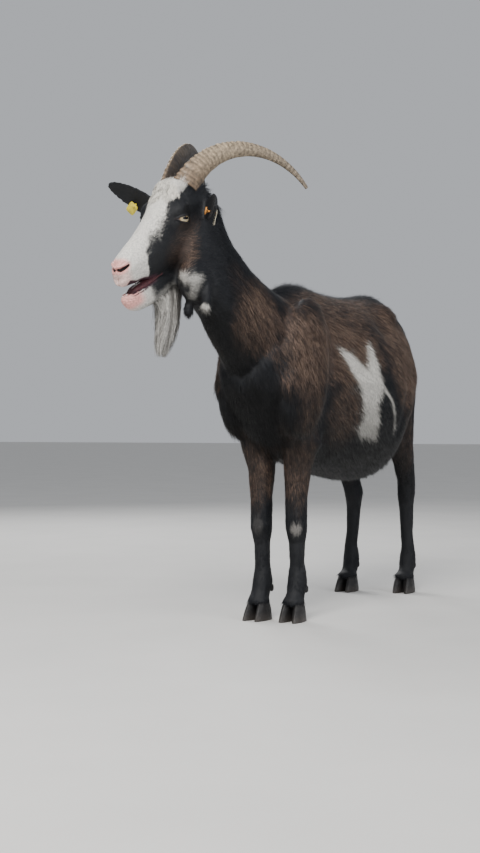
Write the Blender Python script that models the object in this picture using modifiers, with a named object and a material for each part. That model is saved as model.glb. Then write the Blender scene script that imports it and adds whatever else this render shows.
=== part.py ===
"""A horned, bearded goat standing with its mouth open, as a still, life-size model.

Metres, +Z up. The goat faces -Y and its left side is +X. The solids follow the outside of the
coat. The flesh is modelled whole, from lofts and ellipsoids fused by a voxel remesh, and then
parted with thin cuts into the pieces a person would name. Horns, ears, eyes, hooves, dewclaws,
beard, wattles and ear tags are solids of their own, each seated in a socket a hair wider.
"""
import math

import bmesh
import bpy
from mathutils import Matrix, Vector

# ---------------------------------------------------------------- driving sizes
GAP = 0.0003                    # clearance between two pieces that touch
WELD = 0.00002                  # distance at which a cut's vertices are one
FLAT = 0.1                      # degrees under which two faces share a plane
FLESH_RING = 32                 # points round a loft that the remesh fuses
RING = 12                       # points round a horn, an ear or a tag
SMALL_RING = 10                 # points round the beard, a wattle or the tongue
VOXEL = 0.0050                  # cell of the remesh that fuses the flesh
SMOOTHING = 7                   # passes that soften the joins of the flesh
HEAD_TRIANGLES = 880
BODY_TRIANGLES = 1360
SIDES = (("left", 1), ("right", -1))

# Trunk stations from breast to pin bones:
# y, top, bottom, half width, power of the outline, narrowing of the upper half
TRUNK = (
    (-0.188, 0.650, 0.560, 0.030, 2.0, 0.00),
    (-0.166, 0.695, 0.532, 0.068, 2.1, 0.05),
    (-0.120, 0.740, 0.484, 0.091, 2.1, 0.25),
    (-0.040, 0.794, 0.418, 0.107, 2.1, 0.48),
    (0.080, 0.818, 0.374, 0.126, 2.2, 0.45),
    (0.210, 0.808, 0.352, 0.150, 2.2, 0.30),
    (0.330, 0.808, 0.334, 0.170, 2.2, 0.22),
    (0.440, 0.818, 0.328, 0.172, 2.2, 0.22),
    (0.530, 0.832, 0.365, 0.154, 2.2, 0.26),
    (0.605, 0.824, 0.430, 0.130, 2.2, 0.28),
    (0.665, 0.792, 0.480, 0.100, 2.1, 0.18),
    (0.700, 0.700, 0.540, 0.044, 2.0, 0.00),
)

# Neck stations along its centre line: x, y, z, half width, half depth
NECK = (
    (0.000, 0.000, 0.630, 0.095, 0.155),
    (-0.004, -0.115, 0.683, 0.080, 0.124),
    (-0.016, -0.212, 0.752, 0.064, 0.106),
    (-0.034, -0.274, 0.832, 0.055, 0.098),
    (-0.050, -0.293, 0.907, 0.051, 0.085),
    (-0.056, -0.293, 0.964, 0.047, 0.076),
)

# Head frame: the point between the eyes, and how the head is turned, bowed and leant
HEAD_AT = (-0.083, -0.384, 0.921)
HEAD_YAW = -12.0
HEAD_PITCH = 36.0
HEAD_ROLL = 6.0

# Upper head stations: y (back is +), top, bottom, half width, power, narrowing of the upper half
SKULL = (
    (0.132, 0.015, -0.055, 0.034, 2.0, 0.0),
    (0.112, 0.044, -0.075, 0.050, 2.1, 0.1),
    (0.072, 0.061, -0.092, 0.056, 2.2, 0.1),
    (0.030, 0.058, -0.103, 0.057, 2.3, 0.1),
    (-0.005, 0.047, -0.106, 0.054, 2.3, 0.1),
    (-0.040, 0.034, -0.100, 0.046, 2.3, 0.15),
    (-0.080, 0.024, -0.090, 0.037, 2.3, 0.2),
    (-0.115, 0.016, -0.077, 0.031, 2.3, 0.2),
    (-0.150, 0.009, -0.064, 0.027, 2.3, 0.1),
    (-0.174, 0.003, -0.063, 0.025, 2.3, 0.0),
    (-0.190, -0.006, -0.061, 0.021, 2.2, 0.0),
    (-0.199, -0.018, -0.056, 0.013, 2.0, 0.0),
)

# Lower jaw stations with the mouth shut, in the same way, and how far it is open
JAW = (
    (0.060, -0.050, -0.108, 0.030, 2.2, 0.0),
    (0.035, -0.055, -0.120, 0.036, 2.2, 0.0),
    (-0.010, -0.065, -0.124, 0.035, 2.2, 0.0),
    (-0.060, -0.076, -0.129, 0.028, 2.2, 0.0),
    (-0.115, -0.074, -0.122, 0.023, 2.2, 0.0),
    (-0.160, -0.066, -0.110, 0.021, 2.2, 0.0),
    (-0.194, -0.056, -0.097, 0.017, 2.1, 0.0),
    (-0.210, -0.058, -0.081, 0.010, 2.0, 0.0),
)
JAW_HINGE = (0.0, 0.050, -0.050)
JAW_OPEN = 6.0

# Ellipsoids of the left half of the face, in the head frame: orbit, brow, cheek, nostril, crown
HEAD_BALLS = (
    ((0.040, 0.000, 0.000), (0.0205, 0.027, 0.022)),
    ((0.042, 0.008, 0.020), (0.0190, 0.028, 0.015)),
    ((0.034, 0.030, -0.060), (0.0230, 0.050, 0.048)),
    ((0.012, -0.172, -0.024), (0.0150, 0.020, 0.020)),
    ((0.010, 0.048, 0.050), (0.0260, 0.030, 0.018)),
)
EYE_AT = (0.0475, -0.002, 0.000)
EYE_RADIUS = 0.0155

# Tongue in the open jaw's frame: x, y, z, half width, half thickness
TONGUE = (
    (0.0, -0.020, -0.080, 0.015, 0.011),
    (0.0, -0.080, -0.076, 0.015, 0.011),
    (0.0, -0.130, -0.067, 0.015, 0.010),
    (0.0, -0.168, -0.057, 0.013, 0.008),
    (0.0, -0.184, -0.056, 0.008, 0.004),
)

# Horn: root in the head frame, length, and its angles, half depth and half width at root and tip
HORN_ROOT = (0.025, 0.082, 0.046)
HORN_BURIED = 0.014
HORN_LENGTH = 0.378
HORN_RISE = {"left": (60.5, -49.0), "right": (65.0, -50.0)}
HORN_SPLAY = {"left": (14.0, 18.0), "right": (18.0, 36.0)}
HORN_HALF_DEPTH = (0.032, 0.0045)
HORN_HALF_WIDTH = (0.022, 0.0035)
HORN_STEPS = 14
HORN_TAPER = 0.84
HORN_POWER = 2.2

# Ear: root in the head frame, aim and facing in the world, and leaf stations along its length:
# share of the length, half width, half thickness, depth of the hollow
EAR_ROOT = {"left": (0.044, 0.088, -0.022), "right": (0.048, 0.072, -0.041)}
EAR_AIM = {"left": (0.50, -0.68, -0.12), "right": (-0.92, -0.15, 0.54)}
EAR_FACE = {"left": (0.0, -1.0, 0.0), "right": (0.0, -0.75, -0.60)}
EAR_LENGTH = 0.182
EAR_DROOP = -0.004
EAR = (
    (0.00, 0.0150, 0.0100, 0.000),
    (0.22, 0.0240, 0.0070, 0.005),
    (0.45, 0.0320, 0.0045, 0.008),
    (0.72, 0.0290, 0.0038, 0.006),
    (0.92, 0.0180, 0.0032, 0.002),
    (1.00, 0.0070, 0.0028, 0.000),
)
TAG_AT = {"left": 0.42, "right": 0.56}  # share of the ear's length
TAG_LOW = {"left": -0.010, "right": -0.016}     # under the ear's middle line
TAG_LEAN = {"left": 0.0, "right": 22.0}         # degrees that the flap hangs askew
TAG_FLAP = (0.0115, 0.0165, 0.0008)     # half width, half height, half thickness
TAG_BUTTON = (0.0085, 0.0012)   # radius, half thickness
TAG_PIN = 0.0022
# Button and flap, behind or before the ear's middle surface
TAG_SPAN = {"left": (0.0065, -0.0165), "right": (-0.0165, 0.0065)}

# Beard: root in the open jaw's frame; drop, set back, half width, half depth
BEARD_ROOT = (0.0, -0.072, -0.108)
BEARD = (
    (0.000, 0.002, 0.023, 0.042),
    (0.030, 0.007, 0.021, 0.035),
    (0.065, 0.009, 0.018, 0.028),
    (0.105, 0.004, 0.016, 0.027),
    (0.138, -0.003, 0.011, 0.022),
    (0.168, -0.008, 0.005, 0.010),
)

# Wattles: roots inside the throat; share of the length, radius
WATTLE_ROOT = {"left": (0.006, -0.350, 0.778), "right": (-0.040, -0.346, 0.768)}
WATTLE_LENGTH = 0.060
WATTLE_LEAN = -0.012
WATTLE = ((0.0, 0.0065), (0.3, 0.0080), (0.6, 0.0100), (0.85, 0.0105), (0.97, 0.0070), (1.0, 0.0030))

# Tail: x, y, z, half width, half depth
TAIL = (
    (0.0, 0.640, 0.775, 0.024, 0.024),
    (0.0, 0.695, 0.776, 0.024, 0.020),
    (0.0, 0.738, 0.748, 0.026, 0.016),
    (0.0, 0.752, 0.700, 0.025, 0.014),
    (0.0, 0.752, 0.645, 0.014, 0.010),
    (0.0, 0.750, 0.622, 0.006, 0.005),
)

# Ellipsoids of the left half of the body: centre, radii, tilt: shoulder, elbow, hip
BODY_BALLS = (
    ((0.077, -0.014, 0.608), (0.049, 0.119, 0.174), -18),
    ((0.056, 0.020, 0.450), (0.040, 0.060, 0.080), 0),
    ((0.062, 0.500, 0.768), (0.042, 0.080, 0.036), 0),
)
THROAT_AT = (-0.028, -0.340, 0.785)
THROAT_RADII = (0.037, 0.055, 0.052)
THIGH_AT = (0.075, -0.090, 0.580)       # from the hind foot, then above the floor
THIGH_RADII = (0.055, 0.096, 0.165)
THIGH_TILT = 15

# Legs: centre lines from top to coronet: dx, dy, z, half width, half depth
FORELEG = (
    (0.018, 0.016, 0.520, 0.044, 0.078),
    (0.012, 0.006, 0.440, 0.043, 0.062),
    (0.002, 0.004, 0.370, 0.034, 0.042),
    (0.000, 0.000, 0.300, 0.028, 0.032),
    (0.000, 0.000, 0.232, 0.0275, 0.030),
    (0.000, 0.004, 0.190, 0.0215, 0.023),
    (0.000, 0.006, 0.135, 0.0195, 0.021),
    (0.000, 0.006, 0.095, 0.0245, 0.027),
    (0.000, -0.006, 0.062, 0.0225, 0.025),
    (0.000, -0.018, 0.036, 0.0270, 0.030),
)
HINDLEG = (
    (0.002, -0.090, 0.560, 0.047, 0.090),
    (0.002, -0.074, 0.480, 0.042, 0.070),
    (0.003, -0.042, 0.400, 0.032, 0.046),
    (0.000, -0.004, 0.330, 0.026, 0.036),
    (-0.006, 0.014, 0.284, 0.0255, 0.035),
    (-0.006, 0.016, 0.240, 0.0205, 0.026),
    (-0.004, 0.014, 0.180, 0.0185, 0.0215),
    (0.000, 0.012, 0.130, 0.0190, 0.022),
    (0.000, 0.012, 0.092, 0.0235, 0.0265),
    (0.000, 0.000, 0.060, 0.0215, 0.025),
    (0.000, -0.012, 0.036, 0.0260, 0.030),
)
# Half a cloven hoof: z, reach of the toe, reach of the heel, width
CLAW = (
    (0.000, 0.044, 0.028, 0.0280),
    (0.004, 0.043, 0.029, 0.0285),
    (0.022, 0.034, 0.028, 0.0270),
    (0.038, 0.024, 0.025, 0.0240),
    (0.050, 0.012, 0.016, 0.0180),
)
CLAW_RING = 10
CLAW_POINT = 0.25               # how far the toe narrows
CLAW_BACK = 0.016               # how far the hoof sits before the leg's middle
CLEFT = 0.0012                  # half the gap between the two claws at the heel
CLEFT_TOE = 0.0030              # and at the toe
TOE_OUT = 4.0
DEWCLAW_AT = (0.0115, 0.0300, 0.0740)
DEWCLAW_RADII = (0.0060, 0.0075, 0.0110)
DEWCLAW_TILT = 20

# Cuts between the pieces. The head ends at a plane slanting from the poll to the throat.
HEAD_CUT_AT = (0.0, 0.0930, 0.0)
HEAD_CUT_SLOPE = -0.50
JAW_CUT_AT = (0.0, -0.100, -0.078)
JAW_CUT_TILT = -9.0
NECK_CUT_AT = (0.0, -0.110, 0.710)
NECK_CUT_TILT = 48.6
TAIL_CUT_AT = (0.0, 0.712, 0.762)
FAR = 1.5                       # reach of a cutter that is only a plane
SIDE_GAP = 0.0005               # from the middle plane to each leg's region
# Legs: name, height of the knee or hock, a point (x, z) and the tilt of the upper cut, and the
# region's reach before and behind the foot
LEG_CUTS = (
    ("foreleg_", 0.230, (0.020, 0.392), 30.0, (-0.075, 0.090)),
    ("hindleg_", 0.286, (0.015, 0.420), 50.0, (-0.165, 0.250)),
)

# Where each hoof stands: x, y
FEET = {
    "foreleg_left": (0.043, 0.018),
    "foreleg_right": (-0.044, 0.004),
    "hindleg_left": (0.080, 0.668),
    "hindleg_right": (-0.074, 0.620),
}

HIDE_BLACK = (0.020, 0.016, 0.014)
HORN_GREY = (0.36, 0.30, 0.24)
HOOF_GREY = (0.07, 0.06, 0.05)
IRIS = (0.62, 0.45, 0.16)
TONGUE_RED = (0.22, 0.07, 0.08)
BEARD_GREY = (0.50, 0.48, 0.45)
TAG_YELLOW = (0.85, 0.68, 0.08)


# ---------------------------------------------------------------- helpers
def clear_scene():
    """Remove whatever the open file holds."""
    for thing in list(bpy.data.objects):
        bpy.data.objects.remove(thing, do_unlink=True)


def new_collection(name):
    """A collection linked to the scene."""
    collection = bpy.data.collections.new(name)
    bpy.context.scene.collection.children.link(collection)
    return collection


def paint(name, colour, roughness, metallic=0.0):
    """A Principled material."""
    material = bpy.data.materials.new(name)
    material.use_nodes = True
    shader = material.node_tree.nodes["Principled BSDF"]
    shader.inputs["Base Color"].default_value = (*colour, 1.0)
    shader.inputs["Roughness"].default_value = roughness
    shader.inputs["Metallic"].default_value = metallic
    material.diffuse_color = (*colour, 1.0)
    return material


def spline(stations, steps):
    """Catmull-Rom curve through tuples of numbers, with `steps` spans between two stations."""
    rows = []
    last = len(stations) - 1
    for i in range(last):
        a = stations[max(i - 1, 0)]
        b = stations[i]
        c = stations[i + 1]
        d = stations[min(i + 2, last)]
        for step in range(steps):
            t = step / steps
            rows.append(tuple(
                0.5 * (2 * q + (r - p) * t + (2 * p - 5 * q + 4 * r - s) * t ** 2
                       + (3 * q - p - 3 * r + s) * t ** 3)
                for p, q, r, s in zip(a, b, c, d)))
    rows.append(tuple(stations[last]))
    return rows


def outline(width, up, down, power=2.0, narrowing=0.0, count=RING):
    """Closed section: half width, height over and depth under the centre."""
    points = []
    for i in range(count):
        angle = 2 * math.pi * i / count
        side = math.cos(angle)
        rise = math.sin(angle)
        x = width * math.copysign(abs(side) ** (2 / power), side)
        z = (up if rise > 0 else down) * math.copysign(abs(rise) ** (2 / power), rise)
        points.append((x * (1 - narrowing * max(rise, 0.0)), z))
    return points


def mesh_object(name, mesh, collection):
    """Wrap a mesh in an object of the collection."""
    thing = bpy.data.objects.new(name, mesh)
    collection.objects.link(thing)
    return thing


def loft(name, rings, collection):
    """Closed skin through rings of points, with flat ends."""
    work = bmesh.new()
    rows = [[work.verts.new(point) for point in ring] for ring in rings]
    count = len(rows[0])
    for lower, upper in zip(rows, rows[1:]):
        for i in range(count):
            j = (i + 1) % count
            work.faces.new((lower[i], lower[j], upper[j], upper[i]))
    work.faces.new(rows[0])
    work.faces.new(rows[-1])
    bmesh.ops.recalc_face_normals(work, faces=work.faces)
    mesh = bpy.data.meshes.new(name)
    work.to_mesh(mesh)
    work.free()
    return mesh_object(name, mesh, collection)


def upright_loft(name, stations, matrix, collection, steps=3):
    """Loft whose sections stand across Y, given as y, top, bottom, half width, power, narrowing."""
    rings = []
    for y, top, bottom, width, power, narrowing in spline(stations, steps):
        centre = (top + bottom) / 2
        half = (top - bottom) / 2
        shape = outline(width, half, half, power, narrowing, FLESH_RING)
        rings.append([matrix @ Vector((x, y, centre + z)) for x, z in shape])
    return loft(name, rings, collection)


def path_loft(name, stations, collection, steps=2, matrix=Matrix(), across=(1, 0, 0), power=2.0,
              count=RING, grow=0.0):
    """Loft along a path, given as x, y, z, half width, half depth; width lies along `across`."""
    rows = spline(stations, steps)
    rings = []
    for i, row in enumerate(rows):
        before = Vector(rows[max(i - 1, 0)][:3])
        after = Vector(rows[min(i + 1, len(rows) - 1)][:3])
        along = (after - before).normalized()
        depth_axis = along.cross(Vector(across)).normalized()
        width_axis = depth_axis.cross(along).normalized()
        centre = Vector(row[:3]) + along * grow * ((i == len(rows) - 1) - (i == 0))
        shape = outline(row[3] + grow, row[4] + grow, row[4] + grow, power, 0.0, count)
        rings.append([matrix @ (centre + width_axis * x + depth_axis * z) for x, z in shape])
    return loft(name, rings, collection)


def ball(name, centre, radii, collection, matrix=Matrix(), turn=(0, 0, 0), segments=24):
    """Ellipsoid with its own turn, in the frame of `matrix`."""
    work = bmesh.new()
    bmesh.ops.create_uvsphere(work, u_segments=segments, v_segments=segments // 2, radius=1.0)
    place = Matrix.Translation(centre)
    spin = Matrix.Rotation(math.radians(turn[2]), 4, "Z")
    spin = spin @ Matrix.Rotation(math.radians(turn[1]), 4, "Y")
    spin = spin @ Matrix.Rotation(math.radians(turn[0]), 4, "X")
    work.transform(matrix @ place @ spin @ Matrix.Diagonal((*radii, 1.0)))
    mesh = bpy.data.meshes.new(name)
    work.to_mesh(mesh)
    work.free()
    return mesh_object(name, mesh, collection)


def baked(thing):
    """Apply the object's modifiers."""
    bpy.context.view_layer.update()
    graph = bpy.context.evaluated_depsgraph_get()
    mesh = bpy.data.meshes.new_from_object(thing.evaluated_get(graph))
    thing.modifiers.clear()
    thing.data = mesh
    return thing


def head_matrix():
    """From the head's own frame to the world."""
    turn = Matrix.Rotation(math.radians(HEAD_YAW), 4, "Z")
    turn = turn @ Matrix.Rotation(math.radians(HEAD_PITCH), 4, "X")
    turn = turn @ Matrix.Rotation(math.radians(HEAD_ROLL), 4, "Y")
    return Matrix.Translation(HEAD_AT) @ turn


def jaw_matrix():
    """From the shut jaw to the open one, both in the head's frame."""
    there = Matrix.Translation(JAW_HINGE)
    return there @ Matrix.Rotation(math.radians(JAW_OPEN), 4, "X") @ there.inverted()


HEAD = head_matrix()


def flesh_parts(collection):
    """Every loft and muscle of the body, one over another."""
    made = [
        upright_loft("trunk", TRUNK, Matrix(), collection),
        path_loft("neck", NECK, collection, 3, count=FLESH_RING),
        upright_loft("skull", SKULL, HEAD, collection),
        upright_loft("jaw", JAW, HEAD @ jaw_matrix(), collection),
        path_loft("tail", TAIL, collection, 3, count=FLESH_RING),
        ball("throat", THROAT_AT, THROAT_RADII, collection),
    ]
    for side, sign in SIDES:
        for centre, radii in HEAD_BALLS:
            there = (sign * centre[0], centre[1], centre[2])
            made.append(ball("face", there, radii, collection, HEAD))
        for centre, radii, tilt in BODY_BALLS:
            there = (sign * centre[0], centre[1], centre[2])
            made.append(ball("muscle", there, radii, collection, turn=(tilt, 0, 0)))
        x, y = FEET["hindleg_" + side]
        there = (sign * THIGH_AT[0], y + THIGH_AT[1], THIGH_AT[2])
        made.append(ball("thigh", there, THIGH_RADII, collection, turn=(THIGH_TILT, 0, 0)))
        for leg, rows in (("foreleg_", FORELEG), ("hindleg_", HINDLEG)):
            x, y = FEET[leg + side]
            placed = [(x + sign * row[0], y + row[1], row[2], row[3], row[4]) for row in rows]
            made.append(path_loft("leg", placed, collection, 3, power=2.1, count=FLESH_RING))
    return made


def joined(name, things, collection):
    """One object holding the meshes of several, which are removed."""
    work = bmesh.new()
    for thing in things:
        work.from_mesh(thing.data)
        bpy.data.objects.remove(thing, do_unlink=True)
    mesh = bpy.data.meshes.new(name)
    work.to_mesh(mesh)
    work.free()
    return mesh_object(name, mesh, collection)


def thin_out(thing, test, triangles):
    """Decimate the region whose vertices pass the test to about this many triangles."""
    mesh = thing.data
    inside = [test(vertex.co) for vertex in mesh.vertices]
    count = 0
    for polygon in mesh.polygons:
        polygon.select = all(inside[i] for i in polygon.vertices)
        count += (len(polygon.vertices) - 2) * polygon.select
    chosen = {i for polygon in mesh.polygons if polygon.select for i in polygon.vertices}
    for vertex in mesh.vertices:
        vertex.select = vertex.index in chosen
    for edge in mesh.edges:
        edge.select = all(i in chosen for i in edge.vertices)
    bpy.context.view_layer.objects.active = thing
    bpy.ops.object.mode_set(mode="EDIT")
    bpy.ops.mesh.decimate(ratio=triangles / count)
    bpy.ops.object.mode_set(mode="OBJECT")


def flesh(collection):
    """The whole body without horns, ears, eyes and hooves, as one light closed mesh."""
    body = joined("flesh", flesh_parts(collection), collection)
    fuse = body.modifiers.new("fuse", "REMESH")
    fuse.mode = "VOXEL"
    fuse.voxel_size = VOXEL
    relax = body.modifiers.new("relax", "SMOOTH")
    relax.factor = 0.5
    relax.iterations = SMOOTHING
    baked(body)
    into_head = HEAD.inverted()
    neck_side = Vector((0, 1, HEAD_CUT_SLOPE))

    def on_head(point):
        return (into_head @ point - Vector(HEAD_CUT_AT)).dot(neck_side) < 0.01

    thin_out(body, on_head, HEAD_TRIANGLES)
    thin_out(body, lambda point: not on_head(point), BODY_TRIANGLES)
    return body


def box(name, low, high, matrix, collection, grow=0.0):
    """Cutter box between two corners in the frame of `matrix`, swollen by `grow`."""
    work = bmesh.new()
    bmesh.ops.create_cube(work, size=1.0)
    low = Vector(low) - Vector((grow, grow, grow))
    high = Vector(high) + Vector((grow, grow, grow))
    size = Matrix.Diagonal((*(high - low), 1.0))
    work.transform(matrix @ Matrix.Translation((low + high) / 2) @ size)
    mesh = bpy.data.meshes.new(name)
    work.to_mesh(mesh)
    work.free()
    return mesh_object(name, mesh, collection)


def boolean(thing, cutter, operation):
    """Cut or keep with an EXACT boolean, applied at once."""
    cut = thing.modifiers.new("cut", "BOOLEAN")
    cut.operation = operation
    cut.solver = "EXACT"
    cut.object = cutter
    baked(thing)


def islands_of(work):
    """The bmesh's vertices in connected groups, the biggest last."""
    islands = []
    left = set(work.verts)
    while left:
        front = [left.pop()]
        island = list(front)
        while front:
            for edge in front.pop().link_edges:
                for other in edge.verts:
                    if other in left:
                        left.discard(other)
                        front.append(other)
                        island.append(other)
        islands.append(island)
    return sorted(islands, key=len)


def tidy(thing):
    """Weld what a boolean left apart, merge faces in one plane, drop flaps and loose slivers."""
    work = bmesh.new()
    work.from_mesh(thing.data)
    bmesh.ops.remove_doubles(work, verts=work.verts, dist=WELD)
    bmesh.ops.dissolve_degenerate(work, edges=work.edges, dist=WELD)
    bmesh.ops.dissolve_limit(work, angle_limit=math.radians(FLAT), verts=work.verts,
                             edges=work.edges)
    bmesh.ops.triangulate(work, faces=work.faces)
    twins = {}
    for face in work.faces:
        twins.setdefault(frozenset(face.verts), []).append(face)
    flaps = [face for group in twins.values() if len(group) > 1 for face in group]
    bmesh.ops.delete(work, geom=flaps, context="FACES")
    slivers = [corner for island in islands_of(work)[:-1] for corner in island]
    bmesh.ops.delete(work, geom=slivers, context="VERTS")
    work.to_mesh(thing.data)
    work.free()


def regions():
    """Where the flesh is parted: the name of each piece and the boxes whose common part it fills."""
    head = HEAD @ Matrix.Translation(HEAD_CUT_AT)
    head = head @ Matrix.Rotation(math.atan(HEAD_CUT_SLOPE), 4, "X")
    neck = Matrix.Translation(NECK_CUT_AT) @ Matrix.Rotation(math.radians(NECK_CUT_TILT), 4, "X")
    far = FAR
    found = [
        ("head", [((-far, -far, -0.25), (far, 0, far), head)]),
        ("neck", [((-far, -0.40, 0), (far, 0.30, far), neck)]),
        ("tail", [((-0.06, 0, -0.16), (0.06, far, 0.06), Matrix.Translation(TAIL_CUT_AT))]),
    ]
    for side, sign in SIDES:
        inner = SIDE_GAP if sign > 0 else -far
        half = ((inner, -far, -far), (inner + far - SIDE_GAP, far, far), Matrix())
        for leg, joint, cut, tilt, span in LEG_CUTS:
            x, y = FEET[leg + side]
            turn = Matrix.Rotation(-sign * math.radians(tilt), 4, "Y")
            slope = Matrix.Translation((sign * cut[0], y, cut[1])) @ turn
            below = ((-far, span[0], -far), (far, span[1], 0), slope)
            low = ((-far, y + span[0], -far), (far, y + span[1], joint), Matrix())
            found.append((leg + "lower_" + side, [half, low]))
            found.append((leg + "upper_" + side, [half, below]))
    return found


def cut_off(rest, name, boxes, parts, cutters):
    """Take what lies in all the boxes from the rest, as a piece of its own, GAP away from it."""
    piece = mesh_object(name, rest.data.copy(), parts)
    for target, grow, operation in ((piece, 0.0, "INTERSECT"), (rest, GAP, "DIFFERENCE")):
        first, *others = [box(name + "_cutter", *one, cutters, grow) for one in boxes]
        for other in others:
            boolean(first, other, "INTERSECT")
        boolean(target, first, operation)
        tidy(target)
    return piece


def part_the_flesh(parts, cutters):
    """Cut the flesh into named pieces."""
    rest = flesh(parts)
    pieces = {}
    for name, boxes in regions():
        pieces[name] = cut_off(rest, name, boxes, parts, cutters)
    mouth = HEAD @ Matrix.Translation(JAW_CUT_AT)
    mouth = mouth @ Matrix.Rotation(math.radians(JAW_CUT_TILT), 4, "X")
    under = ((-FAR, -FAR, -FAR), (FAR, FAR, 0), mouth)
    pieces["lower_jaw"] = cut_off(pieces["head"], "lower_jaw", [under], parts, cutters)
    rest.name = "trunk"
    rest.data.name = "trunk"
    pieces["trunk"] = rest
    return pieces


def horn(name, side, sign, collection, grow=0.0):
    """Scimitar horn, whose slope and splay change evenly along it."""
    point = HEAD @ Vector((sign * HORN_ROOT[0], HORN_ROOT[1], HORN_ROOT[2]))
    stride = (HORN_LENGTH + HORN_BURIED) / HORN_STEPS
    rings = []
    for i in range(HORN_STEPS + 1):
        t = i / HORN_STEPS
        rise = math.radians(HORN_RISE[side][0] + (HORN_RISE[side][1] - HORN_RISE[side][0]) * t)
        splay = HORN_SPLAY[side][0] + (HORN_SPLAY[side][1] - HORN_SPLAY[side][0]) * t
        heading = math.radians(HEAD_YAW - sign * splay)
        back = Vector((-math.sin(heading), math.cos(heading), 0))
        along = back * math.cos(rise) + Vector((0, 0, math.sin(rise)))
        point = point + along * (stride if i else -HORN_BURIED - grow)
        across = Vector((math.cos(heading), math.sin(heading), 0))
        up = across.cross(along).normalized()
        taper = t ** HORN_TAPER
        depth = HORN_HALF_DEPTH[0] + (HORN_HALF_DEPTH[1] - HORN_HALF_DEPTH[0]) * taper + grow
        width = HORN_HALF_WIDTH[0] + (HORN_HALF_WIDTH[1] - HORN_HALF_WIDTH[0]) * taper + grow
        shape = outline(width, depth, depth, HORN_POWER)
        rings.append([point + across * x + up * z for x, z in shape])
    return loft(name, rings, collection)


def ear(name, side, sign, collection, grow=0.0):
    """Leaf-shaped ear, hollowed along its front."""
    frame = ear_frame(side, sign)
    rings = []
    for t, width, thickness, cup in spline(EAR, 2):
        ring = []
        along = EAR_LENGTH * t + grow * ((t == 1) - (t == 0))
        for y, z in outline(width + grow, thickness + grow, thickness + grow):
            hollow = cup * (1 - (y / (width + grow)) ** 2)
            ring.append(frame @ Vector((along, y + EAR_DROOP * t * t, z - hollow)))
        rings.append(ring)
    return loft(name, rings, collection)


def wattle(name, side, collection, grow=0.0):
    """Soft lobe that hangs from the throat."""
    x, y, z = WATTLE_ROOT[side]
    rows = []
    for t, radius in WATTLE:
        rows.append((x, y + WATTLE_LEAN * t, z - WATTLE_LENGTH * t, radius, radius))
    return path_loft(name, rows, collection, 1, count=SMALL_RING, grow=grow)


def beard(name, collection, grow=0.0):
    """Tapering beard under the chin, hanging plumb."""
    root = HEAD @ jaw_matrix() @ Vector(BEARD_ROOT)
    rows = []
    for drop, back, width, depth in BEARD:
        rows.append((root.x, root.y + back, root.z - drop, width, depth))
    across = (math.cos(math.radians(HEAD_YAW)), math.sin(math.radians(HEAD_YAW)), 0)
    return path_loft(name, rows, collection, 1, across=across, count=SMALL_RING, grow=grow)


def claw(name, foot, side, half, collection, grow=0.0):
    """Half of a cloven hoof: flat sole, pointed toe, walls that slope in to the top."""
    x, y = FEET[foot + side]
    turn = math.radians(TOE_OUT if side == "left" else -TOE_OUT)
    place = Matrix.Translation((x, y - CLAW_BACK, 0)) @ Matrix.Rotation(turn, 4, "Z")
    rings = []
    for z, toe, heel, width in CLAW:
        ring = []
        for i in range(CLAW_RING):
            angle = 2 * math.pi * i / CLAW_RING
            reach = math.cos(angle)
            ahead = max(reach, 0.0)
            along = -(toe + grow) * reach if reach > 0 else -(heel + grow) * reach
            out = math.sin(angle) * (1 - CLAW_POINT * ahead ** 2) * (width / 2 + grow)
            middle = CLEFT + (CLEFT_TOE - CLEFT) * ahead + width / 2
            ring.append(place @ Vector((half * (middle + out), along, z + grow * (z > 0))))
        rings.append(ring)
    return loft(name, rings, collection)


def dewclaw(name, foot, side, half, collection, grow=0.0):
    """Small horny nub behind the fetlock."""
    x, y = FEET[foot + side]
    at = (x + half * DEWCLAW_AT[0], y + DEWCLAW_AT[1], DEWCLAW_AT[2])
    radii = [radius + grow for radius in DEWCLAW_RADII]
    return ball(name, at, radii, collection, turn=(DEWCLAW_TILT, 0, 0), segments=8)


def ear_frame(side, sign):
    """The ear's own frame: x along it, y up its width, z out of its front."""
    aim = Vector(EAR_AIM[side]).normalized()
    front = Vector(EAR_FACE[side])
    front = (front - aim * front.dot(aim)).normalized()
    up = aim.cross(front).normalized() * -sign
    frame = Matrix((aim, up, front)).transposed().to_4x4()
    root = EAR_ROOT[side]
    frame.translation = HEAD @ Vector((sign * root[0], root[1], root[2]))
    return frame


def disc(name, radius, low, high, matrix, collection):
    """Short cylinder between two heights of the frame."""
    work = bmesh.new()
    bmesh.ops.create_cone(work, cap_ends=True, segments=RING, radius1=radius, radius2=radius,
                          depth=high - low)
    work.transform(matrix @ Matrix.Translation((0, 0, (low + high) / 2)))
    mesh = bpy.data.meshes.new(name)
    work.to_mesh(mesh)
    work.free()
    return mesh_object(name, mesh, collection)


def ear_tag(name, side, sign, collection, grow=0.0):
    """Plain plastic tag: a flap and a button on either face of the ear, and a pin through it."""
    frame = ear_frame(side, sign) @ Matrix.Translation((EAR_LENGTH * TAG_AT[side], TAG_LOW[side], 0))
    frame = frame @ Matrix.Rotation(math.radians(TAG_LEAN[side]), 4, "Z")
    at_button, at_flap = TAG_SPAN[side]
    width, height, thick = [size + grow for size in TAG_FLAP]
    rings = []
    for z in (at_flap - thick, at_flap + thick):
        flat = outline(width, height, height, 5.0)
        rings.append([frame @ Vector((x, y - height * 0.60, z)) for x, y in flat])
    tag = loft(name, rings, collection)
    radius, half = [size + grow for size in TAG_BUTTON]
    button = disc("button", radius, at_button - half, at_button + half, frame, collection)
    low, high = sorted(TAG_SPAN[side])
    pin = disc("pin", TAG_PIN + grow, low, high, frame, collection)
    for more in (button, pin):
        boolean(tag, more, "UNION")
        bpy.data.objects.remove(more, do_unlink=True)
    return tag


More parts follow.
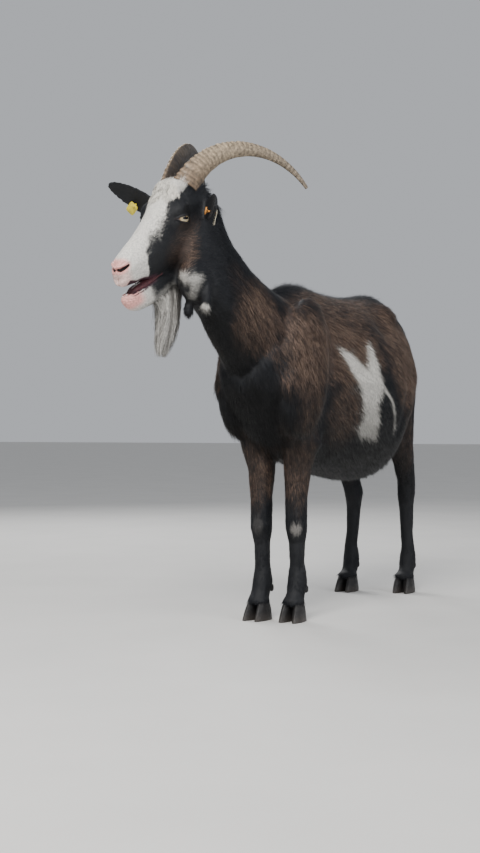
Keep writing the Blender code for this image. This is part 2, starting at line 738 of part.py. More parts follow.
def finish(parts, cutters, pieces):
    """Horns, ears, eyes, tongue, beard, wattles, tags and hooves, each in its socket."""
    head = pieces["head"]
    jaw = pieces["lower_jaw"]
    neck = pieces["neck"]
    horn_stuff = paint("horn", HORN_GREY, 0.6)
    hoof_stuff = paint("hoof", HOOF_GREY, 0.5)
    eye_stuff = paint("eye", IRIS, 0.1)
    beard_stuff = paint("beard", BEARD_GREY, 0.8)
    black = paint("ear_black", HIDE_BLACK, 0.75)
    tag_stuff = paint("tag_yellow", TAG_YELLOW, 0.4)
    tongue_stuff = paint("tongue", TONGUE_RED, 0.3)

    def put(name, make, hosts, stuff):
        piece = make(name, parts, 0.0)
        socket = make(name + "_socket", cutters, GAP)
        for host in hosts:
            boolean(host, socket, "DIFFERENCE")
            tidy(host)
        piece.data.materials.append(stuff)
        return piece

    for side, sign in SIDES:
        ear_piece = put("ear_" + side, lambda n, c, g: ear(n, side, sign, c, g), [head, neck], black)
        put("ear_tag_" + side, lambda n, c, g: ear_tag(n, side, sign, c, g), [ear_piece], tag_stuff)
        put("horn_" + side, lambda n, c, g: horn(n, side, sign, c, g), [head, neck, ear_piece], horn_stuff)
        put("eye_" + side, lambda n, c, g: eye(n, sign, c, g), [head], eye_stuff)
        put("wattle_" + side, lambda n, c, g: wattle(n, side, c, g), [neck, head, jaw], black)
        for foot in ("foreleg_", "hindleg_"):
            leg = pieces[foot + "lower_" + side]
            stem = foot.replace("leg", "") + side
            for half, where in ((1, "left"), (-1, "right")):
                kind = "outer" if where == side else "inner"
                put(f"hoof_{stem}_{kind}", lambda n, c, g: claw(n, foot, side, half, c, g), [leg],
                    hoof_stuff)
                put(f"dewclaw_{stem}_{kind}", lambda n, c, g: dewclaw(n, foot, side, half, c, g),
                    [leg], hoof_stuff)
    put("beard", beard, [jaw, head, neck], beard_stuff)
    put("tongue", tongue, [jaw, head], tongue_stuff)


def eye(name, sign, collection, grow=0.0):
    """Eyeball."""
    at = (sign * EYE_AT[0], EYE_AT[1], EYE_AT[2])
    return ball(name, at, [EYE_RADIUS + grow] * 3, collection, HEAD, segments=12)


def tongue(name, collection, grow=0.0):
    """Tongue lying in the open jaw."""
    return path_loft(name, TONGUE, collection, 1, HEAD @ jaw_matrix(), count=SMALL_RING, grow=grow)


def centre_on_floor(parts):
    """Hang every piece on an empty that brings the middle of their box's floor to the origin."""
    corners = [thing.matrix_world @ vertex.co for thing in parts.objects for vertex in thing.data.vertices]
    low = [min(corner[axis] for corner in corners) for axis in range(3)]
    high = [max(corner[axis] for corner in corners) for axis in range(3)]
    anchor = bpy.data.objects.new("goat_origin", None)
    for thing in list(parts.objects):
        thing.parent = anchor
    parts.objects.link(anchor)
    anchor.location = (-(low[0] + high[0]) / 2, -(low[1] + high[1]) / 2, -low[2])


def build():
    """Model the goat and stand it on the floor under the middle of its box."""
    parts = new_collection("goat")
    cutters = new_collection("cutters")
    hide = paint("hide_black", HIDE_BLACK, 0.7)
    pieces = part_the_flesh(parts, cutters)
    for piece in pieces.values():
        piece.data.materials.append(hide)
    finish(parts, cutters, pieces)
    for cutter in list(cutters.objects):
        bpy.data.objects.remove(cutter, do_unlink=True)
    centre_on_floor(parts)


clear_scene()
build()
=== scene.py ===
"""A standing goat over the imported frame: skin, coat, beard, horns, hooves, eyes and ear tags.

Metres, +Z up. The goat faces -Y and its left side is +X. The flesh nodes are fused into one skin
that lies inside them by the depth of the coat. The coat is made of joined tufts, each a thin
three-sided blade that starts in the skin and follows the lie of the hair. Skin and coat take
their colours from the same functions of place.
"""
import math

import bmesh
import bpy
import numpy as np
from mathutils import Matrix, Vector, noise
from mathutils.bvhtree import BVHTree
from mathutils.kdtree import KDTree


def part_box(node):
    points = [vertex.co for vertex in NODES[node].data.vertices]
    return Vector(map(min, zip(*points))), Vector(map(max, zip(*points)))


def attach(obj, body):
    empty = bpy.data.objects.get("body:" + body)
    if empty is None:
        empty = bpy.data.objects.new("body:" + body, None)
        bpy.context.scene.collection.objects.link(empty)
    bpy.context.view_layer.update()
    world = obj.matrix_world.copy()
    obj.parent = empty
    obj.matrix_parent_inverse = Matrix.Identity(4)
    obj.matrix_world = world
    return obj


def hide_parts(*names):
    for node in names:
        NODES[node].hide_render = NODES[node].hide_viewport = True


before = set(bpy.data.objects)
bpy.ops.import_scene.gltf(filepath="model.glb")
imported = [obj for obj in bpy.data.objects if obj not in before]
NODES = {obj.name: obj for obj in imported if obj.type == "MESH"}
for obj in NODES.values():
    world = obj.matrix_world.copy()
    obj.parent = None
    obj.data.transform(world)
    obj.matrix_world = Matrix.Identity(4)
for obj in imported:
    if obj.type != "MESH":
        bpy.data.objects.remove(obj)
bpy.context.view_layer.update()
SEED = 11                       # of the coat; the beard and the forelock take the next two
SIDES = (("left", 1), ("right", -1))

# ---------------------------------------------------------------- the head's own frame
HEAD_AT = np.array((-0.083, -0.384, 0.921))     # between the eyes, in the goat's own frame
HEAD_YAW = -12.0                # degrees
HEAD_PITCH = 36.0
HEAD_ROLL = 6.0
HEAD_TURN = np.array(Matrix.Rotation(math.radians(HEAD_YAW), 3, "Z")
                     @ Matrix.Rotation(math.radians(HEAD_PITCH), 3, "X")
                     @ Matrix.Rotation(math.radians(HEAD_ROLL), 3, "Y"))
EYE_AT = np.array((0.0475, -0.002, 0.000))      # left eye, in the head's frame
EYE_RADIUS = 0.0155


def middle_of(node):
    """Centre of a node's box."""
    low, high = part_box(node)
    return np.array((low + high) / 2)


EYES_MIDDLE = (middle_of("eye_left") + middle_of("eye_right")) / 2
HEAD_ORIGIN = EYES_MIDDLE - HEAD_TURN @ (EYE_AT * (0, 1, 1))
ANCHOR = HEAD_ORIGIN - HEAD_AT                  # the goat's own frame in the part's frame

# ---------------------------------------------------------------- skin and coat
# region: coat depth, hair length, tuft width, lift in degrees, tufts per square metre,
# tufts in a lock
COAT = {
    "trunk": (0.0040, 0.022, 0.0009, 7.5, 195e3, 6),
    "neck": (0.0042, 0.023, 0.0009, 8, 222e3, 6),
    "head": (0.0016, 0.008, 0.0007, 9, 320e3, 4),
    "lower_jaw": (0.0016, 0.009, 0.0007, 10, 300e3, 4),
    "tail": (0.0055, 0.042, 0.0015, 12, 100e3, 6),
    "foreleg_upper": (0.0030, 0.015, 0.0008, 7, 210e3, 5),
    "foreleg_lower": (0.0014, 0.011, 0.0008, 5, 240e3, 4),
    "hindleg_upper": (0.0034, 0.017, 0.0009, 7, 190e3, 5),
    "hindleg_lower": (0.0014, 0.011, 0.0008, 5, 230e3, 4),
    "ear_left": (0.0003, 0.004, 0.0006, 2, 260e3, 1),
    "ear_right": (0.0003, 0.004, 0.0006, 2, 260e3, 1),
    "wattle": (0.0010, 0.011, 0.0009, 18, 300e3, 5),
}
REGIONS = list(COAT)
FLESH = [name for name in NODES
         if name in ("trunk", "neck", "head", "lower_jaw", "tail", "ear_left", "ear_right")
         or name.startswith(("foreleg_", "hindleg_", "wattle_"))]
OVERLAP = 0.0006                # how far two pieces of flesh are swollen so that they fuse
VOXEL = 0.0040                  # grid on which they are fused
BLUR_PASSES = 14                # how often the regions' borders are blurred
BODY_TRIANGLES = 46000          # in the skin behind the head
FEET = {                        # where each hoof stands, in the goat's own frame
    "fore_left": (0.043, 0.018),
    "fore_right": (-0.044, 0.004),
    "hind_left": (0.080, 0.668),
    "hind_right": (-0.074, 0.620),
}


# ---------------------------------------------------------------- helpers
def smooth_step(low, high, value):
    """0 at low, 1 at high, smooth between; low may be above high."""
    t = np.clip((value - low) / (high - low), 0.0, 1.0)
    return t * t * (3 - 2 * t)


def bell(value, half):
    """1 at a value of 0, falling to about a third at `half` on either side."""
    return np.exp(-(value / half) ** 2)


def unit(vectors):
    """Vectors scaled to length one."""
    return vectors / np.maximum(np.linalg.norm(vectors, axis=-1, keepdims=True), 1e-9)


def ruffle(points, size, seed=0.0):
    """Smooth noise from -1 to 1 with features of about the given size."""
    scaled = points / size + seed * 7.31
    return np.array([noise.noise(Vector(row)) for row in scaled])


def to_head(points):
    """World points in the head's frame."""
    return (points - HEAD_ORIGIN) @ HEAD_TURN


def from_head(points):
    """The head's points in the world."""
    return points @ HEAD_TURN.T + HEAD_ORIGIN


def spline(stations, steps):
    """Catmull-Rom curve through rows of numbers, with `steps` spans between two stations."""
    rows = np.array(stations, float)
    padded = np.vstack((rows[:1], rows, rows[-1:]))
    found = []
    for i in range(len(rows) - 1):
        p, q, r, s = padded[i:i + 4]
        for t in np.arange(steps) / steps:
            found.append(0.5 * (2 * q + (r - p) * t + (2 * p - 5 * q + 4 * r - s) * t ** 2
                                + (3 * q - p - 3 * r + s) * t ** 3))
    found.append(rows[-1])
    return np.array(found)


def mesh_from(name, points, faces, material, smooth=True):
    """An object from arrays of points and of faces that all have the same number of corners."""
    mesh = bpy.data.meshes.new(name)
    count, corners = faces.shape
    mesh.vertices.add(len(points))
    mesh.vertices.foreach_set("co", points.astype(np.float32).ravel())
    mesh.loops.add(count * corners)
    mesh.loops.foreach_set("vertex_index", faces.astype(np.int32).ravel())
    mesh.polygons.add(count)
    mesh.polygons.foreach_set("loop_start", np.arange(0, count * corners, corners, dtype=np.int32))
    mesh.polygons.foreach_set("use_smooth", np.full(count, smooth))
    mesh.update(calc_edges=True)
    mesh.materials.append(material)
    thing = bpy.data.objects.new(name, mesh)
    bpy.context.scene.collection.objects.link(thing)
    return thing


def attribute(mesh, name, kind, key, values):
    """Store one value for each vertex."""
    layer = mesh.attributes.new(name, kind, "POINT")
    layer.data.foreach_set(key, np.asarray(values, np.float32).ravel())


def colour_attribute(mesh, name, colours):
    """Store a colour for each vertex."""
    full = np.ones((len(colours), 4), np.float32)
    full[:, :3] = colours
    attribute(mesh, name, "FLOAT_COLOR", "color", full)


def rows_of(items, key, width, kind=np.float32):
    """One property of a mesh's items, as rows."""
    flat = np.empty(len(items) * width, kind)
    items.foreach_get(key, flat)
    return flat.reshape(-1, width)


def points_of(mesh):
    """The mesh's vertices as rows."""
    return rows_of(mesh.vertices, "co", 3).astype(float)


def normals_of(mesh):
    """The normal at each vertex."""
    return rows_of(mesh.vertex_normals, "vector", 3).astype(float)


def edges_of(mesh):
    """The mesh's edges as pairs of vertices."""
    return rows_of(mesh.edges, "vertices", 2, np.int32)


def triangles_of(mesh):
    """The corners of each face of a mesh of triangles."""
    return rows_of(mesh.polygons, "vertices", 3, np.int32)


def areas_of(points, faces):
    """The area of each triangle."""
    corners = points[faces]
    return np.linalg.norm(np.cross(corners[:, 1] - corners[:, 0], corners[:, 2] - corners[:, 0]), axis=1) / 2


def interpolated(values, corners, shares):
    """Values inside faces, from those at the faces' corners and each corner's share."""
    spare = shares if values.ndim == 1 else shares[:, :, None]
    return (values[corners] * spare).sum(1)


def nearest(points, known):
    """For each point the number of the nearest known point."""
    tree = KDTree(len(known))
    for i, row in enumerate(known):
        tree.insert(Vector(row), i)
    tree.balance()
    return np.array([tree.find(Vector(row))[1] for row in points])


def eye_distance(head):
    """Distance to the centre of the nearer eye, from places in the head's frame."""
    return np.minimum(*[np.linalg.norm(head - EYE_AT * (sign, 1, 1), axis=1) for _, sign in SIDES])


def round_angles(corners):
    """Angles of evenly spaced corners round a circle."""
    return np.arange(corners) * 2 * np.pi / corners


def spread(values, edges, count):
    """Mean of each vertex's neighbours."""
    a, b = edges.T
    degree = np.maximum(np.bincount(edges.ravel(), minlength=count), 1)
    columns = [np.bincount(a, column[b], count) + np.bincount(b, column[a], count)
               for column in values.T]
    return np.stack(columns, 1) / degree[:, None]


def relaxed(points, edges, strength, passes):
    """Points smoothed by `strength`, with every second pass pushing back against shrinking."""
    for i in range(passes):
        step = strength if i % 2 == 0 else -1.03 * strength
        points = points + (spread(points, edges, len(points)) - points) * step[:, None]
    return points


def finished(thing, slot, *nodes):
    """Ride on the one body and stand for some of the nodes, which it hides; the slot is not used."""
    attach(thing, "root")
    if nodes:
        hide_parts(*nodes)
    return thing


# ---------------------------------------------------------------- markings
# black hair; its blue tint is a painted sky reflection
BLUE_SHEEN_BLACK = np.array((0.0070, 0.0082, 0.0118))
BROWN = np.array((0.068, 0.039, 0.027))
WHITE = np.array((0.78, 0.755, 0.70))
GREY = np.array((0.34, 0.32, 0.30))
PINK = np.array((0.72, 0.36, 0.32))
# the inside of the mouth: its lining's colour darkened as painted shade
MOUTH_SHADED_LINING = np.array((0.042, 0.016, 0.024))

# Left flank, seen from the side: y and z along the edge of its forked white patch
FLANK_PATCH = np.array((
    (0.107, 0.668), (0.138, 0.612), (0.177, 0.559), (0.201, 0.505), (0.190, 0.465),
    (0.218, 0.444), (0.286, 0.440), (0.280, 0.480), (0.256, 0.531), (0.276, 0.574),
    (0.270, 0.628), (0.268, 0.690), (0.252, 0.678), (0.212, 0.620), (0.150, 0.655)))
FLANK_STRIPE = np.array(((0.286, 0.567), (0.325, 0.545), (0.352, 0.505), (0.371, 0.460)))
STRIPE_HALF = 0.0042
PATCH_EDGE = 0.007              # how raggedly white hair ends
PATCH_INNER = 0.04              # the patches end this near the middle plane
RIGHT_SHIFT = np.array((0.045, 0.012))          # the right side's patch lies further back and up

# Edge of the white blaze: how far back on the head, and degrees down from its middle line
BLAZE = np.array((
    (-0.200, 180), (-0.134, 180), (-0.126, 95), (-0.120, 62), (-0.114, 48), (-0.104, 38),
    (-0.086, 30), (-0.063, 33), (-0.047, 31), (-0.028, 26), (-0.012, 20), (0.007, 20),
    (0.023, 22), (0.043, 24), (0.070, 20), (0.095, 18), (0.112, 12), (0.128, 0)))
BLAZE_CENTRE = -0.035           # height in the head about which the degrees are counted
BLAZE_END = 0.118               # the blaze ends this far back

# Brown parts of the left half: centre, radii, strength
BROWN_PARTS = (
    ((0.100, -0.050, 0.650), (0.080, 0.105, 0.115), 0.88),
    ((0.090, -0.040, 0.510), (0.070, 0.060, 0.100), 0.50),
    ((0.050, -0.200, 0.720), (0.060, 0.080, 0.090), 0.75),
    ((0.030, -0.290, 0.860), (0.050, 0.060, 0.090), 0.25),
    ((0.120, 0.130, 0.670), (0.090, 0.190, 0.110), 1.0),
    ((0.120, 0.130, 0.510), (0.080, 0.070, 0.090), 0.66),
    ((0.060, 0.250, 0.770), (0.070, 0.300, 0.060), 0.55),
    ((0.120, 0.480, 0.650), (0.110, 0.150, 0.150), 1.0),
    ((0.060, -0.020, 0.370), (0.070, 0.070, 0.090), 0.62),
    ((0.100, 0.560, 0.430), (0.080, 0.100, 0.100), 0.28),
)
# Centre, radii and strength in the head's frame
CHEEK_BROWN = ((0.068, -0.002, -0.072), (0.052, 0.092, 0.056), 0.80)
LID_BROWN = ((0.058, -0.004, -0.014), (0.020, 0.024, 0.014), 0.50)
# Path and half width of the pale throat patch, and the pale end of the left wattle
THROAT_WHITE = np.array(((-0.036, -0.389, 0.789), (-0.010, -0.380, 0.780), (-0.022, -0.370, 0.744)))
THROAT_HALF = (0.010, 0.015, 0.007)
WATTLE_TIP = ((0.008, -0.368, 0.722), (0.013, 0.012, 0.013))
NOSE_PINK = ((0.010, -0.190, -0.012), (0.024, 0.024, 0.017))
JAW_LINE = -0.116               # under this height in the head the jaw's hair is pale
# Worn grey knees: centre, radii, strength
KNEES = (((0.056, -0.014, 0.222), (0.018, 0.020, 0.018), 0.85),
         ((-0.042, -0.028, 0.230), (0.016, 0.016, 0.026), 0.16))


def ellipsoid(points, centre, radii):
    """Distance from the centre, 1 on the ellipsoid's surface."""
    return np.linalg.norm((points - centre) / radii, axis=1)


def outline_depth(flat, corners):
    """How deep inside a closed outline each point lies; negative outside."""
    best = np.full(len(flat), np.inf)
    inside = np.zeros(len(flat), bool)
    for a, b in zip(corners, np.roll(corners, -1, axis=0)):
        span = b - a
        t = np.clip(((flat - a) @ span) / (span @ span), 0, 1)
        best = np.minimum(best, np.linalg.norm(flat - a - t[:, None] * span, axis=1))
        crosses = (a[1] > flat[:, 1]) != (b[1] > flat[:, 1])
        with np.errstate(divide="ignore", invalid="ignore"):
            at = a[0] + (flat[:, 1] - a[1]) / (b[1] - a[1]) * span[0]
        inside ^= crosses & (flat[:, 0] < at)
    return np.where(inside, best, -best)


def path_distance(points, path):
    """Distance to a polyline and the share of its length at the nearest place."""
    best = np.full(len(points), np.inf)
    share = np.zeros(len(points))
    spans = len(path) - 1
    for i, (a, b) in enumerate(zip(path, path[1:])):
        span = b - a
        t = np.clip(((points - a) @ span) / (span @ span), 0, 1)
        gap = np.linalg.norm(points - a - t[:, None] * span, axis=1)
        nearer = gap < best
        best = np.where(nearer, gap, best)
        share = np.where(nearer, (i + t) / spans, share)
    return best, share


def blaze(head):
    """Depth inside the white blaze in metres, from places in the head's frame."""
    x, y, z = head.T
    reach = np.hypot(x, z - BLAZE_CENTRE)
    angle = np.degrees(np.arctan2(np.abs(x), z - BLAZE_CENTRE))
    edge = np.interp(y, BLAZE[:, 0], BLAZE[:, 1])
    return np.minimum(np.radians(edge - angle) * reach, BLAZE_END - y)


def white_flank(own, side, jitter):
    """The forked patch on either flank, and the stripe behind the left one."""
    flank = outline_depth(own[:, 1:] - np.where(side[:, None] > 0, 0, RIGHT_SHIFT), FLANK_PATCH)
    white = smooth_step(-PATCH_EDGE, PATCH_EDGE, flank + jitter * PATCH_EDGE)
    gap, along = path_distance(own[:, 1:], FLANK_STRIPE)
    stripe = smooth_step(STRIPE_HALF * 1.8, STRIPE_HALF * 0.4, gap - jitter * 0.001)
    stripe = stripe * (side > 0) * (1 - 0.35 * along)
    return np.maximum(white, stripe) * (np.abs(own[:, 0]) > PATCH_INNER)


def white_head(head, face, jaw, jitter):
    """The blaze, the pale chin and the pale hair under the jaw."""
    x, y, z = head.T
    ticked = smooth_step(-0.01, -0.06, y) * smooth_step(-0.165, -0.135, y)
    soft = 0.004 + 0.009 * ticked
    white = face * smooth_step(-soft, soft * 0.7, blaze(head) + 1.3 * jitter * soft)
    chin = smooth_step(-0.120, -0.150, y + jitter * 0.012) * 0.85
    under = smooth_step(JAW_LINE + 0.006, JAW_LINE - 0.010, z + jitter * 0.006) * 0.50
    under = under * smooth_step(0.034, 0.024, np.abs(x)) * smooth_step(-0.050, -0.080, y)
    return np.maximum(white, jaw * np.maximum(chin, under))


def white_throat(points, own, face, jitter):
    """The throat's pale patch and the pale end of the left wattle."""
    gap, along = path_distance(own, THROAT_WHITE)
    inside = np.interp(along, (0, 0.5, 1), THROAT_HALF) - gap
    inside = inside + 0.005 * jitter + 0.009 * ruffle(points, 0.016, 8)
    patch = smooth_step(-0.006, 0.007, inside) * 0.55 * (1 - face)
    return np.maximum(patch, smooth_step(1.20, 0.70, ellipsoid(own, *WATTLE_TIP)) * 0.9)


def brown_share(points, mirrored, mirrored_head, body):
    """The brown parts, with clouded edges; the spine stays black."""
    brown = np.zeros(len(points))
    cloud = 0.20 * ruffle(points, 0.060, 4) + 0.12 * ruffle(points, 0.024, 6)
    for centre, radii, strength in BROWN_PARTS:
        near = smooth_step(1.30, 0.50, ellipsoid(mirrored, centre, radii) + cloud)
        brown = np.maximum(brown, near * strength * body)
    for centre, radii, strength in (CHEEK_BROWN, LID_BROWN):
        near = smooth_step(1.25, 0.55, ellipsoid(mirrored_head, centre, radii))
        brown = np.maximum(brown, near * strength)
    spine = smooth_step(0.030, 0.012, mirrored[:, 0]) * smooth_step(0.70, 0.76, mirrored[:, 2])
    return brown * (1 - spine)


def pink_share(mirrored_head, face, jaw):
    """Pink skin on the nose, the tip of the upper lip and the lower lip."""
    _, y, z = mirrored_head.T
    nose = smooth_step(1.25, 0.70, ellipsoid(mirrored_head, *NOSE_PINK))
    lip = smooth_step(-0.170, -0.190, y) * 0.55
    low_lip = jaw * smooth_step(-0.150, -0.178, y) * smooth_step(-0.118, -0.100, z)
    return np.clip(np.maximum(face * np.maximum(nose, lip), low_lip), 0, 1)


def markings(points, face, jaw, jitter):
    """Shares of white, brown, grey and pink, given how far a place belongs to face and jaw."""
    own = points - ANCHOR
    side = np.sign(own[:, 0])
    mirrored = np.stack((np.abs(own[:, 0]), own[:, 1], own[:, 2]), 1)
    head = to_head(points)
    mirrored_head = np.stack((np.abs(head[:, 0]), head[:, 1], head[:, 2]), 1)
    body = np.clip(1 - face - jaw, 0, 1)
    white = np.maximum(white_flank(own, side, jitter) * body, white_head(head, face, jaw, jitter))
    white = np.maximum(white, white_throat(points, own, face, jitter))
    grey = np.zeros(len(points))
    for centre, radii, strength in KNEES:
        near = smooth_step(1.2, 0.75, ellipsoid(own, centre, radii) + jitter * 0.15)
        grey = np.maximum(grey, near * strength)
    return {"white": white, "brown": brown_share(points, mirrored, mirrored_head, body),
            "grey": grey, "pink": pink_share(mirrored_head, face, jaw)}


def mixed(marks, jitter):
    """Colour of the hair or skin from its shares, with `jitter` from hair to hair."""
    streaks = jitter * 0.55 * np.minimum(1, marks["brown"] * 4)
    brown = np.clip(marks["brown"] * 1.05 + streaks, 0, 1)[:, None]
    colour = BLUE_SHEEN_BLACK * (1 - brown) + BROWN * brown * (1 + 0.5 * jitter[:, None])
    for name, paint in (("grey", GREY), ("white", WHITE), ("pink", PINK)):
        share = marks[name][:, None]
        colour = colour * (1 - share) + paint * share
    return np.clip(colour * (1 + 0.10 * jitter[:, None]), 0.002, 0.95)


# ---------------------------------------------------------------- materials
def new_material(name, roughness=0.5, specular=0.5, **sockets):
    """A Principled material and its shader; constant numbers go straight on the shader."""
    material = bpy.data.materials.new(name)
    material.use_nodes = True
    shader = material.node_tree.nodes["Principled BSDF"]
    shader.inputs["Roughness"].default_value = roughness
    shader.inputs["Specular IOR Level"].default_value = specular
    for socket, value in sockets.items():
        shader.inputs[socket.replace("_", " ")].default_value = value
    return material, shader


def add(material, kind, inputs=None, **settings):
    """A node with its settings and with constants or other nodes' outputs on its sockets."""
    tree = material.node_tree
    node = tree.nodes.new(kind)
    for key, value in settings.items():
        setattr(node, key, value)
    for socket, value in (inputs or {}).items():
        if isinstance(value, bpy.types.NodeSocket):
            tree.links.new(value, node.inputs[socket])
        else:
            node.inputs[socket].default_value = value
    return node


def link(material, output, socket):
    """Join an output to a shader's socket."""
    material.node_tree.links.new(output, socket)


def own_place(material, stretch=(1, 1, 1)):
    """The piece's own coordinates, stretched."""
    place = add(material, "ShaderNodeTexCoord")
    return add(material, "ShaderNodeMapping", {"Vector": place.outputs["Object"], "Scale": stretch}
               ).outputs["Vector"]


def noise_of(material, scale, detail=3.0, rough=0.55, stretch=(1, 1, 1)):
    """Noise over the piece's own coordinates."""
    return add(material, "ShaderNodeTexNoise",
               {"Vector": own_place(material, stretch), "Scale": scale, "Detail": detail,
                "Roughness": rough}).outputs["Fac"]


def ranged(material, value, low, high, from_low=0.3, from_high=0.7):
    """A value stretched from one range to another."""
    return add(material, "ShaderNodeMapRange",
               {"Value": value, "From Min": from_low, "From Max": from_high, "To Min": low,
                "To Max": high}).outputs["Result"]


def ramp_of(material, value, stops):
    """A colour ramp's colour at a value, from stops of place and colour in rising order."""
    ramp = add(material, "ShaderNodeValToRGB", {"Fac": value})
    found = ramp.color_ramp.elements
    found[0].color = stops[0][1]
    found[1].color = stops[-1][1]
    for place, colour in stops[1:-1]:
        found.new(place).color = colour
    return ramp.outputs["Color"]


def scaled_colour(material, colour, value):
    """A colour made lighter or darker by a value."""
    return add(material, "ShaderNodeVectorMath", {0: colour, "Scale": value},
               operation="SCALE").outputs["Vector"]


def stored(material, name, output="Fac"):
    """What the piece stores under a name at each vertex."""
    return add(material, "ShaderNodeAttribute", attribute_name=name).outputs[output]


def blend(material, share, first, second):
    """The first colour where the share is 0 and the second where it is 1."""
    return add(material, "ShaderNodeMix", {0: share, 6: first, 7: second}, data_type="RGBA").outputs[2]


def product(material, first, second):
    """Two values multiplied."""
    return add(material, "ShaderNodeMath", {0: first, 1: second}, operation="MULTIPLY").outputs[0]


def coloured(material, shader, colour, rough=None):
    """Put a colour and, where it varies, the roughness on the shader."""
    link(material, colour, shader.inputs["Base Color"])
    if rough:
        link(material, rough, shader.inputs["Roughness"])


def bump(material, shader, height, distance, strength=1.0):
    """Relief from a height."""
    node = add(material, "ShaderNodeBump",
               {"Height": height, "Distance": distance, "Strength": strength})
    link(material, node.outputs["Normal"], shader.inputs["Normal"])


def hair_material(name, roughness):
    """Tufts: the colour of their place, darker at the root, streaked."""
    material, shader = new_material(name, roughness, 0.27, Sheen_Weight=0.04, Sheen_Roughness=0.4)
    tint = stored(material, "tint", "Color")
    streak = ranged(material, noise_of(material, 420, 2.0, 0.6, (1, 0.35, 0.35)), 0.70, 1.30)
    coloured(material, shader, scaled_colour(material, tint, streak),
             ranged(material, noise_of(material, 60, 2.0), roughness - 0.08, roughness + 0.12))
    bump(material, shader, noise_of(material, 900, 2.0, 0.6, (1, 0.3, 0.3)), 0.0006, 0.5)
    return material


def skin_material():
    """Skin under the coat, and bare on the nose, lips and lids."""
    material, shader = new_material("skin", 0.5, 0.4)
    tint = stored(material, "tint", "Color")
    bare = stored(material, "bare")
    mottle = ranged(material, noise_of(material, 260, 3.0), 0.72, 1.22)
    coloured(material, shader, scaled_colour(material, tint, mottle),
             ranged(material, bare, 0.68, 0.36, 0.0, 1.0))
    hair = noise_of(material, 520, 3.0, 0.65, (1, 0.35, 0.35))
    pores = add(material, "ShaderNodeTexVoronoi", {"Vector": own_place(material), "Scale": 620.0})
    height = add(material, "ShaderNodeMix", {0: bare, 2: hair, 3: pores.outputs["Distance"]},
                 data_type="FLOAT").outputs[0]
    bump(material, shader, height, 0.0010, 0.7)
    return material


# ---------------------------------------------------------------- one skin over all the flesh
def bmesh_of(mesh):
    """A node's mesh with its split corners joined again."""
    work = bmesh.new()
    work.from_mesh(mesh)
    bmesh.ops.remove_doubles(work, verts=work.verts, dist=1e-6)
    work.normal_update()
    return work


def add_ball(work, place, radii, turn=Matrix.Identity(3)):
    """Put a ball into a bmesh."""
    matrix = Matrix.Translation(Vector(place)) @ turn.to_4x4() @ Matrix.Diagonal((*radii, 1.0))
    bmesh.ops.create_icosphere(work, subdivisions=3, radius=1.0, matrix=matrix)


# Balls that plug the flesh where other pieces sit in it: centre and radii, in the head's frame
# and, for the feet, from where each hoof stands
EYE_ROOM = 0.0010
HORN_PLUG = (np.array((0.025, 0.078, 0.034)), (0.021, 0.026, 0.026))
BEARD_PLUG = (np.array((0, -0.062, -0.118)), (0.020, 0.040, 0.020))
FOOT_PLUG = (np.array((0, -0.015, 0.0470)), (0.0275, 0.0300, 0.0140))


def fused_flesh():
    """The flesh nodes swollen, plugged where other pieces sit in them, and fused."""
    whole = bmesh.new()
    for name in FLESH:
        work = bmesh_of(NODES[name].data)
        for vertex in work.verts:
            vertex.co += vertex.normal * OVERLAP
        swollen = bpy.data.meshes.new("swollen")
        work.to_mesh(swollen)
        work.free()
        whole.from_mesh(swollen)
        bpy.data.meshes.remove(swollen)
    turn = Matrix(HEAD_TURN)
    for _, sign in SIDES:
        add_ball(whole, from_head(EYE_AT * (sign, 1, 1)), [EYE_RADIUS + EYE_ROOM] * 3)
        add_ball(whole, from_head(HORN_PLUG[0] * (sign, 1, 1)), HORN_PLUG[1], turn)
    for x, y in FEET.values():
        add_ball(whole, ANCHOR + (FOOT_PLUG[0] + (x, y, 0)), FOOT_PLUG[1])
    add_ball(whole, from_head(BEARD_PLUG[0]), BEARD_PLUG[1], turn)
    mesh = bpy.data.meshes.new("skin")
    whole.to_mesh(mesh)
    whole.free()
    skin = bpy.data.objects.new("skin", mesh)
    bpy.context.scene.collection.objects.link(skin)
    remesh = skin.modifiers.new("fuse", "REMESH")
    remesh.mode = "VOXEL"
    remesh.voxel_size = VOXEL
    remesh.adaptivity = 0.0
    bpy.context.view_layer.update()
    graph = bpy.context.evaluated_depsgraph_get()
    fused = bpy.data.meshes.new_from_object(skin.evaluated_get(graph))
    skin.modifiers.clear()
    skin.data = fused
    return skin


def region_of(name):
    """The coat region that a flesh node belongs to."""
    for region in REGIONS:
        if name.startswith(region):
            return REGIONS.index(region)
    raise ValueError(name)


def region_weights(points, edges):
    """How far each point belongs to each region, blurred across their borders."""
    corners, faces, owner = [], [], []
    start = 0
    for name in FLESH:
        mesh = NODES[name].data
        corners.extend(points_of(mesh))
        for polygon in mesh.polygons:
            faces.append([start + i for i in polygon.vertices])
            owner.append(region_of(name))
        start += len(mesh.vertices)
    tree = BVHTree.FromPolygons([tuple(row) for row in corners], faces)
    weights = np.zeros((len(points), len(REGIONS)))
    nearest = [owner[tree.find_nearest(Vector(row))[2]] for row in points]
    weights[np.arange(len(points)), nearest] = 1.0
    for _ in range(BLUR_PASSES):
        weights = 0.4 * weights + 0.6 * spread(weights, edges, len(points))
    return weights


def weight_of(weights, *prefixes):
    """Summed weight of the regions whose names start so."""
    chosen = [i for i, name in enumerate(REGIONS) if name.startswith(prefixes)]
    return weights[:, chosen].sum(1)


